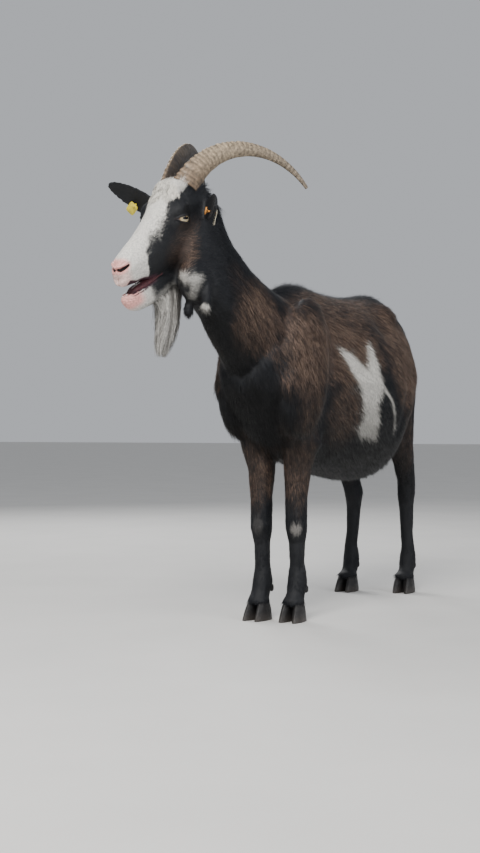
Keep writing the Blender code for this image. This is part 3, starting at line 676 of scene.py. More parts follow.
def thin_out(skin, chosen, triangles):
    """Decimate the chosen vertices' faces to about this many triangles."""
    for thing in bpy.context.selected_objects:
        thing.select_set(False)
    bpy.context.view_layer.objects.active = skin
    skin.select_set(True)
    picked = chosen[triangles_of(skin.data)].all(1)
    for kind in (skin.data.vertices, skin.data.edges):
        kind.foreach_set("select", np.zeros(len(kind), bool))
    skin.data.polygons.foreach_set("select", picked)
    bpy.ops.object.mode_set(mode="EDIT")
    bpy.context.tool_settings.mesh_select_mode = (False, False, True)
    bpy.ops.mesh.decimate(ratio=triangles / max(int(picked.sum()), 1))
    bpy.ops.object.mode_set(mode="OBJECT")
    skin.select_set(False)


def triangulate(mesh):
    """Only triangles."""
    work = bmesh.new()
    work.from_mesh(mesh)
    bmesh.ops.triangulate(work, faces=work.faces)
    work.to_mesh(mesh)
    work.free()


def refine(mesh, chosen):
    """Split in four the triangles whose corners are all chosen."""
    work = bmesh.new()
    work.from_mesh(mesh)
    edges = [edge for edge in work.edges
             if chosen[edge.verts[0].index] and chosen[edge.verts[1].index]]
    bmesh.ops.subdivide_edges(work, edges=edges, cuts=1, use_grid_fill=True)
    bmesh.ops.triangulate(work, faces=[face for face in work.faces if len(face.verts) > 3])
    work.to_mesh(mesh)
    work.free()


def set_points(mesh, points):
    """Move the mesh's vertices."""
    mesh.vertices.foreach_set("co", points.astype(np.float32).ravel())
    mesh.update()


# ---------------------------------------------------------------- face
EYE_RADII = np.array((0.0172, 0.0155, 0.0155))   # along the slit, up, out
EYE_SLIT = np.array((0.010, 0.905, -0.425))      # from the inner corner to the outer one
OPENING = (0.0168, 0.0042, 0.0066)               # half length, height over and under the slit
LID_OUT = 0.0017                                 # lids stand this far off the eyeball
LID_ROLL = (0.0024, 0.0016, 0.0006)              # distance from the edge, half width, height
LID_CREASE = 0.0013                              # depth of the crease in the lids
LID_CREASES = (                                  # over or under, distance, half width, share of it
    (1, 0.0058, 0.0011, 1.0), (-1, 0.0048, 0.0010, 0.6))
SOCKET = 0.0050                                  # the skin goes this far under the eyeball
NOSTRIL = np.array((
    (0.0055, -0.197, -0.015), (0.0110, -0.194, -0.017), (0.0170, -0.188, -0.016),
    (0.0225, -0.182, -0.015), (0.0255, -0.174, -0.014)))
NOSTRIL_SIZE = (0.0042, 0.0075)                  # half width and depth
WING = (0.0066, 0.0026, 0.0018)                  # rim over it: distance, half width, height
MOUTH_FOLD = np.array(((0.030, -0.150, -0.030), (0.033, -0.128, -0.048), (0.033, -0.108, -0.066)))
LIP_AT = (-0.192, -0.180, -0.165, -0.140, -0.122, -0.095, -0.070)     # how far forward on the head
LIP_DROP = (-0.0060, -0.0040, 0.0050, 0.0070, 0.0090, 0.0090, 0.0)    # the upper lip comes down
LIP_RISE = (0.0120, 0.0120, 0.0105, 0.0090, 0.0090, 0.0080, 0.0)      # and the lower one comes up
LIP_CREASES = (-0.172, -0.157, -0.141)           # how far forward, on the lower lip
CREASE = (0.0013, 0.0016)                        # half width and depth of each
FOLD = (0.0022, 0.0012)                          # the same for the folds beside the mouth
GROOVE = (0.0012, 0.0018)                        # and for the upper lip's middle groove
WRINKLES = (0.0062, 0.0009)                      # distance and depth of the chin's wrinkles


def eye_frame(sign):
    """Centre and axes of an eye in the head's frame: along the slit, up and out."""
    along = unit(EYE_SLIT * (sign, 1, 1))
    out = np.array((sign * 1.0, -0.10, 0.05))
    out = unit(out - along * (out @ along))
    up = np.cross(out, along) * sign
    return EYE_AT * (sign, 1, 1), np.stack((along, up, out))


def lid_shape(head, sign):
    """Places along an eye's axes, their depth in the opening, and 1 on the eyeball's surface."""
    centre, axes = eye_frame(sign)
    local = (head - centre) @ axes.T
    length, over, under = OPENING
    u = local[:, 0] / length
    bow = np.clip(1 - u * u, 0, 1) ** 0.72
    height = np.where(local[:, 1] > 0, over, under) * bow
    inside = np.minimum(height - np.abs(local[:, 1] - 0.0006), (1 - np.abs(u)) * length * 0.55)
    scaled = np.linalg.norm(local / EYE_RADII, axis=1)
    return local, inside, scaled


def shape_lids(head):
    """Lids that hug the eyeball, with the skin carved away inside the opening."""
    for _, sign in SIDES:
        axes = eye_frame(sign)[1]
        local, inside, scaled = lid_shape(head, sign)
        near = (local[:, 2] > -0.001) & (np.linalg.norm(local, axis=1) < 0.040)
        reach = np.linalg.norm(local, axis=1)
        ball = reach / np.maximum(scaled, 1e-6)
        opened = smooth_step(-0.0006, 0.0006, inside)
        lip = smooth_step(-0.0110, -0.0010, inside)
        crease = sum(share * bell(inside + away, half) * (local[:, 1] * over > 0)
                     for over, away, half, share in LID_CREASES)
        away, half, height = LID_ROLL
        roll = bell(inside + away, half)
        target = ball + LID_OUT + height * roll - LID_CREASE * crease
        wanted = np.where(near, reach + (target - reach) * lip, reach)
        wanted = wanted + near * opened * (ball - SOCKET - wanted)
        head = head + ((wanted / np.maximum(reach, 1e-6) - 1)[:, None] * local) @ axes
    return head


# Muscles and hollows of the flank, seen from the side: y, z, radii along y and z, height
BODY_FORMS = (
    (-0.130, 0.565, 0.026, 0.026, 0.006), (-0.020, 0.545, 0.055, 0.060, 0.005),
    (0.030, 0.428, 0.016, 0.018, 0.006), (-0.010, 0.700, 0.022, 0.070, 0.004),
    (0.400, 0.735, 0.050, 0.036, -0.010), (0.478, 0.775, 0.022, 0.020, 0.006),
    (0.560, 0.600, 0.055, 0.080, 0.006), (0.470, 0.520, 0.030, 0.035, 0.006),
    (0.675, 0.735, 0.016, 0.020, 0.005), (0.230, 0.560, 0.110, 0.110, 0.004))
# Furrows: points (y, z), width, depth
FURROWS = (
    (((0.050, 0.770), (0.062, 0.660), (0.050, 0.560), (0.052, 0.450)), 0.018, 0.0048),
    (((-0.050, 0.690), (-0.085, 0.600), (-0.060, 0.520), (0.000, 0.455)), 0.018, 0.0026),
    (((0.400, 0.440), (0.425, 0.520), (0.455, 0.610)), 0.014, 0.0060),
    (((0.615, 0.690), (0.600, 0.580), (0.610, 0.470)), 0.012, 0.0035),
    (((-0.345, 0.840), (-0.270, 0.720), (-0.175, 0.610)), 0.020, 0.0032),
    (((-0.200, 0.830), (-0.150, 0.740), (-0.080, 0.700)), 0.022, 0.0022),
)
# Grooves in front of the sinews: leg, how far behind the foot, lower and upper end
SINEW = (0.0045, 0.0022)        # half width and depth
CANNONS = (("fore", 0.010, 0.105, 0.205), ("hind", 0.020, 0.105, 0.250))


def shape_body(points, normals, weights):
    """Shoulder, ribs, flank hollow, thigh, neck furrow and the sinews of the legs."""
    own = points - ANCHOR
    flat = own[:, 1:]
    wide = smooth_step(0.025, 0.060, np.abs(own[:, 0]))
    body = 1 - weight_of(weights, "head", "lower_jaw", "ear", "wattle", "tail")
    rise = np.zeros(len(points))
    for y, z, long, high, height in BODY_FORMS:
        gap = np.hypot((flat[:, 0] - y) / long, (flat[:, 1] - z) / high)
        rise += height * bell(gap, 1) * wide
    for path, width, deep in FURROWS:
        gap, share = path_distance(flat, np.array(path))
        ends = smooth_step(0.0, 0.2, share) * smooth_step(1.0, 0.8, share)
        rise -= deep * bell(gap, width) * ends * wide
    for foot, back, low, high in CANNONS:
        for side, _ in SIDES:
            x, y = FEET[f"{foot}_{side}"]
            near = np.hypot(own[:, 0] - x, own[:, 1] - y) < 0.05
            span = smooth_step(low, low + 0.03, own[:, 2]) * smooth_step(high, high - 0.03, own[:, 2])
            flank = np.abs(normals[:, 0]) * near * span
            rise -= SINEW[1] * flank * bell(own[:, 1] - y - back, SINEW[0])
    return points + normals * (rise * body)[:, None]


def shape_mouth(head, out, face, jaw):
    """Fuller lips that close toward the corners of the mouth, and creases under the lower one."""
    x, y, z = head.T
    rim = 0.55 + 0.45 * smooth_step(0.004, 0.015, np.abs(x))
    above = face * smooth_step(-0.030, -0.056, z)
    below = jaw * smooth_step(-0.120, -0.098, z)
    rise = below * np.interp(y, LIP_AT, LIP_RISE) - above * np.interp(y, LIP_AT, LIP_DROP)
    rise = rise * rim
    front = face * smooth_step(-0.160, -0.185, y) * smooth_step(-0.036, -0.052, z)
    ahead = 0.0045 * front + 0.0020 * below * smooth_step(-0.165, -0.185, y)
    head = head + np.stack((0 * x, -ahead, rise), 1)
    crease = sum(bell(y + 0.25 * (z + 0.09) - at, CREASE[0]) for at in LIP_CREASES)
    crease = crease * jaw * smooth_step(-0.118, -0.104, z) * smooth_step(0.006, 0.012, np.abs(x))
    return head - out * (CREASE[1] * crease)[:, None]


def shape_face(head, out, face, jaw):
    """Nostrils, lips and their wrinkles, and the folds beside the mouth.

    The second item says how deep in a nostril each place lies.
    """
    head = shape_mouth(head, out, face, jaw)
    pits = np.zeros(len(head))
    for _, sign in SIDES:
        line = NOSTRIL * (sign, 1, 1)
        near = [np.linalg.norm(head - row, axis=1).argmin() for row in line]
        line = line + out[near] * ((head[near] - line) * out[near]).sum(1)[:, None]
        gap, along = path_distance(head, line)
        width = NOSTRIL_SIZE[0] * (1 - 0.50 * along ** 2)
        hole = np.exp(-(gap / width) ** 4)
        floor = np.interp(-head[:, 1], (0.174, 0.197), (-0.014, -0.016))
        above = smooth_step(0.0, 0.006, head[:, 2] - floor)
        wing = bell(gap - WING[0], WING[1]) * above
        head = head + out * (WING[2] * wing - NOSTRIL_SIZE[1] * hole)[:, None]
        pits = np.maximum(pits, bell(gap, width))
        fold, _ = path_distance(head, MOUTH_FOLD * (sign, 1, 1))
        head = head - out * (FOLD[1] * bell(fold, FOLD[0]))[:, None]
    x, y, z = head.T
    groove = bell(x, GROOVE[0])
    groove = groove * smooth_step(-0.150, -0.185, y) * smooth_step(-0.008, -0.020, z)
    groove = groove * smooth_step(-0.080, -0.066, z)
    head = head - out * (GROOVE[1] * groove)[:, None]
    low = smooth_step(-0.135, -0.160, y) * jaw
    wave = np.sin((z + 0.15 * y + 0.4 * np.abs(x)) * 2 * np.pi / WRINKLES[0])
    wrinkle = np.clip(wave, 0, 1) ** 2 * smooth_step(-0.110, -0.100, z) * low
    return head - out * (WRINKLES[1] * wrinkle)[:, None], pits


def around_eyes(head, reach):
    """True near either eye's outer side."""
    found = np.zeros(len(head), bool)
    for _, sign in SIDES:
        centre, axes = eye_frame(sign)
        local = (head - centre) @ axes.T
        found |= (np.linalg.norm(local * (0.8, 1, 1), axis=1) < reach) & (local[:, 2] > -0.002)
    return found


SMOOTHING = 0.62
SKIN_PASSES = 46                # how often the whole skin is smoothed
BODY_PASSES = 60                # and then the body,
SHOULDER_PASSES = 150           # and the top of the shoulder blade and the neck's root
NAPE = ((0.000, 0.152, -0.068), (0.060, 0.042, 0.042))    # where the neck meets the skull
NAPE_PASSES = 90
EAR_PASSES = 3                  # how often the ears' edges are evened out
FACE_PASSES = 6                 # and the face after it is cut finer
FACE_END = 0.060                # in the head's frame, how far back it is cut finer once,
TIP_START = (-0.150, -0.100)    # how far forward and above what height twice,
EYES_REACH = 0.027              # and how far round the eyes twice


def smoothed(points, edges, weights):
    """The fused flesh evened out: all of it, then the body, its shoulder and neck, and the nape."""
    ears = weight_of(weights, "ear", "wattle")
    face = weight_of(weights, "head", "lower_jaw")
    points = relaxed(points, edges, SMOOTHING - 0.34 * ears - 0.10 * face, SKIN_PASSES)
    body = 1 - ears - face
    points = relaxed(points, edges, SMOOTHING * np.clip(body, 0, 1), BODY_PASSES)
    own = points - ANCHOR
    blade_top = np.exp(-((own[:, 1] + 0.01) / 0.07) ** 2 - ((own[:, 2] - 0.745) / 0.055) ** 2)
    border = 4 * weight_of(weights, "neck") * weight_of(weights, "trunk")
    patch = np.clip(np.maximum(blade_top, border) * body, 0, 1)
    points = relaxed(points, edges, SMOOTHING * patch, SHOULDER_PASSES)
    nape = 0.7 * bell(ellipsoid(to_head(points), *NAPE), 1) * (1 - ears)
    for _ in range(NAPE_PASSES):
        points = points + (spread(points, edges, len(points)) - points) * nape[:, None]
    return points


def coat_depth(points, weights):
    """How far the skin lies under the flesh's surface; hardly at all on the muzzle and lids."""
    face = weight_of(weights, "head", "lower_jaw")
    head = to_head(points)
    muzzle = smooth_step(-0.09, -0.15, head[:, 1]) * face
    depth = weights @ np.array([COAT[name][0] for name in REGIONS])
    depth = depth * (1 - 0.7 * muzzle)
    return np.where(face > 0.3, depth * smooth_step(0.016, 0.030, eye_distance(head)), depth)


def cut_finer(mesh, known, flesh):
    """Finer triangles on the face, and finer again round the eyes and on the muzzle's tip."""
    for closer in (False, True):
        points = points_of(mesh)
        head = to_head(points)
        chosen = flesh[nearest(points, known)] > 0.5
        if closer:
            tip = (head[:, 1] < TIP_START[0]) & (head[:, 2] > TIP_START[1])
            chosen &= around_eyes(head, EYES_REACH) | tip
        else:
            chosen &= head[:, 1] < FACE_END
        refine(mesh, chosen)
        points = points_of(mesh)
        strength = 0.5 * smooth_step(0.5, 0.8, flesh[nearest(points, known)])
        set_points(mesh, relaxed(points, edges_of(mesh), strength, FACE_PASSES))


def built_skin():
    """The finished skin, with its points, normals, region weights and nostril pits."""
    skin = fused_flesh()
    mesh = skin.data
    points, edges = points_of(mesh), edges_of(mesh)
    known_weights = region_weights(points, edges)
    points = smoothed(points, edges, known_weights)
    set_points(mesh, points)
    known = points - normals_of(mesh) * coat_depth(points, known_weights)[:, None]
    known = shape_body(known, normals_of(mesh), known_weights)
    set_points(mesh, known)
    triangulate(mesh)
    near_head = weight_of(known_weights, "head", "lower_jaw", "ear", "wattle") > 0.25
    thin_out(skin, ~near_head, BODY_TRIANGLES)
    cut_finer(mesh, known, weight_of(known_weights, "head", "lower_jaw"))
    points = points_of(mesh)
    weights = known_weights[nearest(points, known)]
    edges = edges_of(mesh)
    for _ in range(3):
        weights = 0.5 * weights + 0.5 * spread(weights, edges, len(points))
    for side, sign in SIDES:
        flap, thin = weight_of(weights, "ear_" + side), ear_axes(side, sign)[1][2]
        for _ in range(EAR_PASSES):
            step = (spread(points, edges, len(points)) - points) * 0.6 * flap[:, None]
            points = points + step - (step @ thin)[:, None] * thin
    face, jaw = weight_of(weights, "head"), weight_of(weights, "lower_jaw")
    head = to_head(points)
    out = normals_of(mesh) @ HEAD_TURN
    moved, pits = shape_face(head, out, smooth_step(0.4, 0.8, face), smooth_step(0.4, 0.8, jaw))
    head = head + (shape_lids(moved) - head) * smooth_step(0.4, 0.7, face + jaw)[:, None]
    set_points(mesh, from_head(head))
    mesh.polygons.foreach_set("use_smooth", np.ones(len(mesh.polygons), bool))
    return skin, points_of(mesh), normals_of(mesh), weights, pits


def mouth_share(head, normals, face, jaw):
    """How far a place faces the inside of the open mouth."""
    _, y, z = head.T
    up = (normals @ HEAD_TURN)[:, 2]
    inner = smooth_step(-0.192, -0.184, y) * smooth_step(-0.100, -0.112, y)
    roof = face * smooth_step(-0.35, -0.70, up) * smooth_step(-0.100, -0.094, z)
    floor = jaw * smooth_step(0.30, 0.65, up) * smooth_step(-0.105, -0.098, z)
    return np.clip(roof * 1.3 + floor * 1.3, 0, 1) * inner


# painted shade deep in the nostrils; the lid rims and the skin inside the eye's opening take the same dark
NOSTRIL_SHADE_AND_LID_DARK = np.array((0.012, 0.008, 0.009))


def paint_skin(skin, points, normals, weights, pits):
    """Colours and bareness at the skin's vertices."""
    face, jaw = weight_of(weights, "head"), weight_of(weights, "lower_jaw")
    jitter = ruffle(points, 0.010) * 0.7 + ruffle(points, 0.003, 2) * 0.3
    marks = markings(points, face, jaw, jitter)
    colour = mixed(marks, jitter * 0.6)
    head = to_head(points)
    flesh = np.clip(face + jaw, 0, 1)
    # painted shade: the inside of the open mouth is painted dark
    mouth = mouth_share(head, normals, face, jaw)[:, None]
    colour = colour * (1 - mouth) + MOUTH_SHADED_LINING * mouth
    # painted shade in the nostril pits, and the same dark on the lid rims and inside the eye's opening
    dark = smooth_step(0.22, 0.62, pits) * flesh
    for _, sign in SIDES:
        _, inside, _ = lid_shape(head, sign)
        near = np.linalg.norm(head - EYE_AT * (sign, 1, 1), axis=1) < 0.028
        dark = np.maximum(dark, smooth_step(-0.0040, -0.0012, inside) * near * flesh)
    colour = colour * (1 - dark[:, None]) + NOSTRIL_SHADE_AND_LID_DARK * dark[:, None]
    bare = np.clip(np.maximum(np.maximum(marks["pink"], mouth[:, 0]), dark), 0, 1)
    # painted shade: the skin under the coat is darkened, less under white hair, as the tufts would shade it
    shade_under_coat = (1 - bare) * (1 - 0.6 * marks["white"])
    colour = colour * (1 - 0.5 * shade_under_coat[:, None])
    colour_attribute(skin.data, "tint", colour)
    attribute(skin.data, "bare", "FLOAT", "value", bare)


# ---------------------------------------------------------------- lie and length of the hair
def lie_of_hair(points, normals, weights):
    """Direction in which the hair lies at each place."""
    own = points - ANCHOR
    side = np.sign(own[:, 0])
    zero = np.zeros(len(own))
    low = smooth_step(0.02, 0.10, np.abs(own[:, 0]))
    front = smooth_step(0.06, -0.10, own[:, 1])
    rear = smooth_step(0.46, 0.64, own[:, 1])
    trunk = np.stack((side * 0.05, 1 - 0.35 * low - 0.45 * front - 0.55 * rear,
                      -0.10 - 0.55 * low - 0.50 * front - 0.85 * rear), 1)
    belly = smooth_step(-0.2, -0.8, normals[:, 2])[:, None]
    trunk = trunk * (1 - belly) + np.array((0, 0.75, -0.55)) * belly
    neck = np.stack((side * 0.10, 0.42 + zero, -0.85 + zero), 1)
    turn = HEAD_TURN.T
    head_own = to_head(points)
    crown = smooth_step(0.02, 0.06, head_own[:, 1]) * smooth_step(0.0, 0.04, head_own[:, 2])
    cheek = smooth_step(-0.01, -0.06, head_own[:, 2])
    skull = np.stack((zero, 0.8 - 0.25 * crown, 0.10 + 0.45 * crown - 0.65 * cheek), 1) @ turn
    jaw = np.stack((zero, 0.8 + zero, -0.45 + zero), 1) @ turn
    tail = np.stack((zero, smooth_step(0.74, 0.70, own[:, 1]),
                     -0.25 - smooth_step(0.69, 0.73, own[:, 1])), 1)
    leg = np.stack((zero, 0.16 + zero, -1 + zero), 1)
    thigh = np.stack((zero, 0.30 + zero, -1 + zero), 1)
    lies = {"trunk": trunk, "neck": neck, "head": skull, "lower_jaw": jaw, "tail": tail,
            "foreleg_upper": leg, "foreleg_lower": leg, "hindleg_upper": thigh,
            "hindleg_lower": leg, "wattle": leg}
    for name in ("ear_left", "ear_right"):
        lies[name] = np.tile(np.array(EAR_AIM[name[4:]]), (len(own), 1))
    blended = sum(weights[:, [i]] * unit(lies[name]) for i, name in enumerate(REGIONS))
    sway = np.stack([ruffle(points, 0.045, 3 + k) for k in range(3)], 1)
    calm = 1 - weight_of(weights, "ear")
    lie = unit(blended + 0.22 * sway * calm[:, None])
    collar = smooth_step(1.50, 1.05, horn_ratio(points))[:, None]
    first, later = (np.array([horn_path(side, sign)[row][1] for side, sign in SIDES]) for row in (0, 40))
    axis = unit((later - first).mean(0))
    return unit(lie * (1 - collar) + axis * collar)


def hair_sizes(points, normals, weights):
    """Length, width, lift and density of the tufts at each place."""
    table = np.array([COAT[name] for name in REGIONS])
    _, length, width, lift, density = (weights @ table[:, :5]).T
    own = points - ANCHOR
    x, y, z = to_head(points).T
    face = weight_of(weights, "head", "lower_jaw")
    trunk = weight_of(weights, "trunk")
    ridge = smooth_step(0.030, 0.010, np.abs(own[:, 0])) * smooth_step(0.55, 0.85, normals[:, 2])
    ridge = ridge * trunk * smooth_step(-0.16, -0.08, own[:, 1])
    fringe = smooth_step(-0.25, -0.7, normals[:, 2]) * trunk
    buttock = smooth_step(0.62, 0.68, own[:, 1]) * trunk
    rear = smooth_step(0.015, 0.100, y) * face
    cheek = smooth_step(-0.03, -0.07, z) * smooth_step(-0.09, -0.03, y) * face
    muzzle = smooth_step(-0.05, -0.14, y) * face
    crown = smooth_step(0.030, 0.070, y) * smooth_step(0.01, 0.04, z) * face
    near_eye = 0.30 + 0.70 * smooth_step(0.016, 0.034, eye_distance(to_head(points)))
    chin = weight_of(weights, "lower_jaw") * smooth_step(-0.4, -0.8, (normals @ HEAD_TURN)[:, 2])
    chin = chin * smooth_step(-0.165, -0.150, y)
    foot = smooth_step(0.085, 0.045, own[:, 2])
    width = width * (1 - 0.30 * muzzle)
    length = np.where(face > 0.3, length * near_eye, length)
    for share, longer, lifted in ((ridge, 0.45, 9), (fringe, 0.35, 8), (buttock, 0.25, 0),
                                  (rear, 1.3, -4), (cheek, 0.5, 0), (muzzle, -0.45, 0),
                                  (crown, 0.5, 4), (chin, 0.9, 0), (foot, 0.35, -3)):
        length = length * (1 + longer * share)
        lift = lift + lifted * share
    for centre, radii, strength in KNEES:
        near = smooth_step(1.15, 0.85, ellipsoid(own, centre, radii)) * strength
        length = length * (1 - 0.6 * near)
    collar = smooth_step(1.45, 1.05, horn_ratio(points)) * face
    outside = np.maximum(smooth_step(0.022, 0.034, np.abs(x)), smooth_step(0.085, 0.100, y))
    length = length * (1 - collar) + (0.013 + 0.013 * outside) * collar
    fluff = smooth_step(1.6, 0.9, ellipsoid(own, *WATTLE_TIP)) * weight_of(weights, "wattle")
    poll = smooth_step(0.070, 0.095, y) * smooth_step(-0.045, -0.015, z)
    poll = poll * smooth_step(0.175, 0.150, y) * smooth_step(0.10, 0.07, np.abs(x)) * (1 - collar)
    for share, longer, lifted in ((collar * outside, 0.0, 8), (fluff, 0.002, 22), (poll, 0.007, 6)):
        length = length + longer * share
        lift = lift + lifted * share
    return length, width, lift, density


def bald(points, normals, weights, pits):
    """Where no hair grows: nose, lips, mouth, nostrils, lids, soles."""
    head = to_head(points)
    face, jaw = weight_of(weights, "head"), weight_of(weights, "lower_jaw")
    flesh = np.clip(face + jaw, 0, 1)
    marks = markings(points, face, jaw, np.zeros(len(points)))
    none = np.maximum(marks["pink"] * 1.3, mouth_share(head, normals, face, jaw) * 2)
    none = np.maximum(none, smooth_step(0.02, 0.15, pits))
    for _, sign in SIDES:
        _, inside, _ = lid_shape(head, sign)
        near = np.linalg.norm(head - EYE_AT * (sign, 1, 1), axis=1) < 0.030
        none = np.maximum(none, smooth_step(-0.0050, -0.0030, inside) * near)
    none = none * flesh
    none = np.maximum(none, smooth_step(0.82, 0.70, horn_ratio(points)))
    own = points - ANCHOR
    none = np.maximum(none, smooth_step(0.036, 0.031, own[:, 2]))
    sole = smooth_step(0.060, 0.052, own[:, 2]) * smooth_step(-0.15, -0.35, normals[:, 2])
    none = np.maximum(none, sole)
    return np.clip(none, 0, 1)


# ---------------------------------------------------------------- tufts
ROOT_DEPTH = 0.0005                 # how far a tuft starts under the skin
THICK = 0.32                        # thickness of a tuft against its width
CURL = 1.05                         # how much steeper a tuft starts than it ends
SOFTNESS = 1.1                      # how far tufts shade like the skin under them
PATCH = 0.003                       # size of a tuft on the unwrap
BARE_LIMIT = 0.6                    # no tuft is rooted where the skin is barer than this
TURN_SCATTER = 0.13                 # radians
LENGTH_SCATTER = 0.20
WIDTH_SCATTER = 0.18
LIFT_SCATTER = 2.5                  # degrees
BELLY_SHADOW = 0.75                 # how much darker hair is that faces the ground
# tips of brown hair: sun-bleached, and greyed as a painted sheen
BLEACHED_AND_SHEEN_TIPS = np.array((0.33, 0.235, 0.175))


def sow(skin_points, faces, chance, random):
    """Places of tufts: face and shares of its corners, evenly by area and density."""
    mass = np.cumsum(areas_of(skin_points, faces) * chance[faces].mean(1))
    count = int(mass[-1])
    picks = (np.arange(count) + random.random(count)) / count * mass[-1]
    chosen = np.minimum(np.searchsorted(mass, picks), len(faces) - 1)
    a, b = random.random(count), random.random(count)
    fold = a + b > 1
    a, b = np.where(fold, 1 - a, a), np.where(fold, 1 - b, b)
    shares = np.stack((1 - a - b, a, b), 1)
    return chosen, shares


def blade_pattern(spans):
    """Triangles of one tuft."""
    pattern = [(2, 1, 0)]
    for i in range(spans - 1):
        base = 3 * i
        for j in range(3):
            k = (j + 1) % 3
            pattern.append((base + 3 + k, base + 3 + j, base + j))
            pattern.append((base + k, base + 3 + k, base + j))
    base = 3 * (spans - 1)
    for j in range(3):
        pattern.append((base + (j + 1) % 3, base + 3, base + j))
    return np.array(pattern)


def blades(roots, lies, outs, length, width, lift, gather, spans):
    """Points of thin three-sided tufts that bend back onto the body, and how far along each is."""
    steps = np.linspace(0, 1, spans + 1)
    across = unit(np.cross(lies, outs))
    rings, heights = [], []
    place = roots - outs * ROOT_DEPTH
    rise = np.radians(lift)
    for i, t in enumerate(steps):
        if i:
            angle = rise * (1.0 + CURL * (0.5 - (i - 0.5) / spans))
            step = lies * np.cos(angle)[:, None] + outs * np.sin(angle)[:, None]
            place = place + step * (length / spans)[:, None]
        middle = place + gather * (t ** 1.5)
        form = 1.0 - 0.25 * t if i < spans else 0.0
        half = (width / 2 * form)[:, None]
        if i < spans:
            rings.append(middle + across * half)
            rings.append(middle - across * half)
            rings.append(middle + outs * half * THICK * 2)
            heights += [t] * 3
        else:
            rings.append(middle)
            heights.append(1.0)
    return np.stack(rings, 1), np.array(heights)


def unwrap(roots, outs, label):
    """Places of the roots on flat charts of the skin, one for each region and main direction."""
    axis = np.abs(outs).argmax(1)
    front = outs[np.arange(len(outs)), axis] > 0
    key = label * 6 + axis * 2 + front
    flat = np.zeros((len(roots), 2))
    charts = []
    for value in np.unique(key):
        rows = key == value
        kept = [i for i in range(3) if i != (value % 6) // 2]
        place = roots[rows][:, kept]
        place = place - place.min(0)
        flat[rows] = place
        charts.append((value, place.max(0) + 0.004))
    charts.sort(key=lambda chart: -chart[1][1])
    area = sum(size[0] * size[1] for _, size in charts)
    shelf = max(math.sqrt(area) * 1.15, max(size[0] for _, size in charts))
    x = y = tall = 0.0
    for value, size in charts:
        if x + size[0] > shelf:
            x, y, tall = 0.0, y + tall, 0.0
        flat[key == value] += (x, y)
        x, tall = x + size[0], max(tall, size[1])
    whole = max(shelf, y + tall)
    return 0.004 + flat / whole * (0.992 - PATCH)


def add_patches(mesh, flat, faces, per, heights):
    """The OFBake map: each tuft is a small patch at its root's place."""
    layer = mesh.uv_layers.new(name="OFBake")
    side = np.array([(i % 3) / 2 for i in range(per)])
    side[-1] = 0.5
    patch = np.stack((side, heights), 1) * PATCH
    spots = (flat[:, None] + patch[None]).reshape(-1, 2)
    layer.data.foreach_set("uv", spots[faces].astype(np.float32).ravel())


def blade_normals(mesh, leans):
    """Tufts shade with the body under them, so that the coat reads as one surface."""
    soft = unit(normals_of(mesh) + SOFTNESS * leans)
    mesh.normals_split_custom_set_from_vertices(soft.astype(np.float32))


LIE_PASSES = 30                 # how often the lie of the body's hair is evened out
TUFT_LIMIT = 190000             # triangles in one coat piece
COAT_PIECES = (                 # piece, regions, spans along each tuft, which side of the animal
    ("coat_trunk_left", ("trunk",), 1, 1),
    ("coat_trunk_right", ("trunk",), 1, -1),
    ("coat_neck", ("neck", "wattle"), 1, 0),
    ("coat_head", ("head", "lower_jaw"), 1, 0),
    ("coat_ears", ("ear",), 1, 0),
    ("coat_forelegs_upper", ("foreleg_upper",), 1, 0),
    ("coat_hindlegs_upper", ("hindleg_upper",), 1, 0),
    ("coat_forelegs_lower", ("foreleg_lower",), 1, 0),
    ("coat_hindlegs_lower", ("hindleg_lower",), 1, 0),
    ("coat_tail", ("tail",), 2, 0),
)


def gathered(roots, lies, length, label, random):
    """How far each tuft's tip is drawn towards the tip of its lock, and the lock's number."""
    members = np.array([COAT[REGIONS[i]][5] for i in label])
    heads = np.flatnonzero(random.random(len(roots)) < 1.0 / members)
    if not len(heads):
        heads = np.arange(len(roots))
    lock = nearest(roots, roots[heads])
    leader = heads[lock]
    tip = roots + lies * length[:, None]
    aim = roots[leader] + lies[leader] * length[leader][:, None]
    pull = (aim - tip) * np.interp(length, (0.008, 0.030), (0.35, 0.55))[:, None]
    reach = np.linalg.norm(pull, axis=1, keepdims=True)
    most = np.minimum(0.35 * length, 0.008)[:, None]
    return pull * np.minimum(1, most / np.maximum(reach, 1e-9)), lock


def even_lies(lies, weights, edges):
    """The lie of the hair with the body's part evened out."""
    body = weight_of(weights, "trunk", "neck", "foreleg_upper", "hindleg_upper")
    body = np.clip(body, 0, 1)[:, None]
    for _ in range(LIE_PASSES):
        lies = lies + (spread(lies, edges, len(lies)) - lies) * 0.8 * body
    return unit(lies)


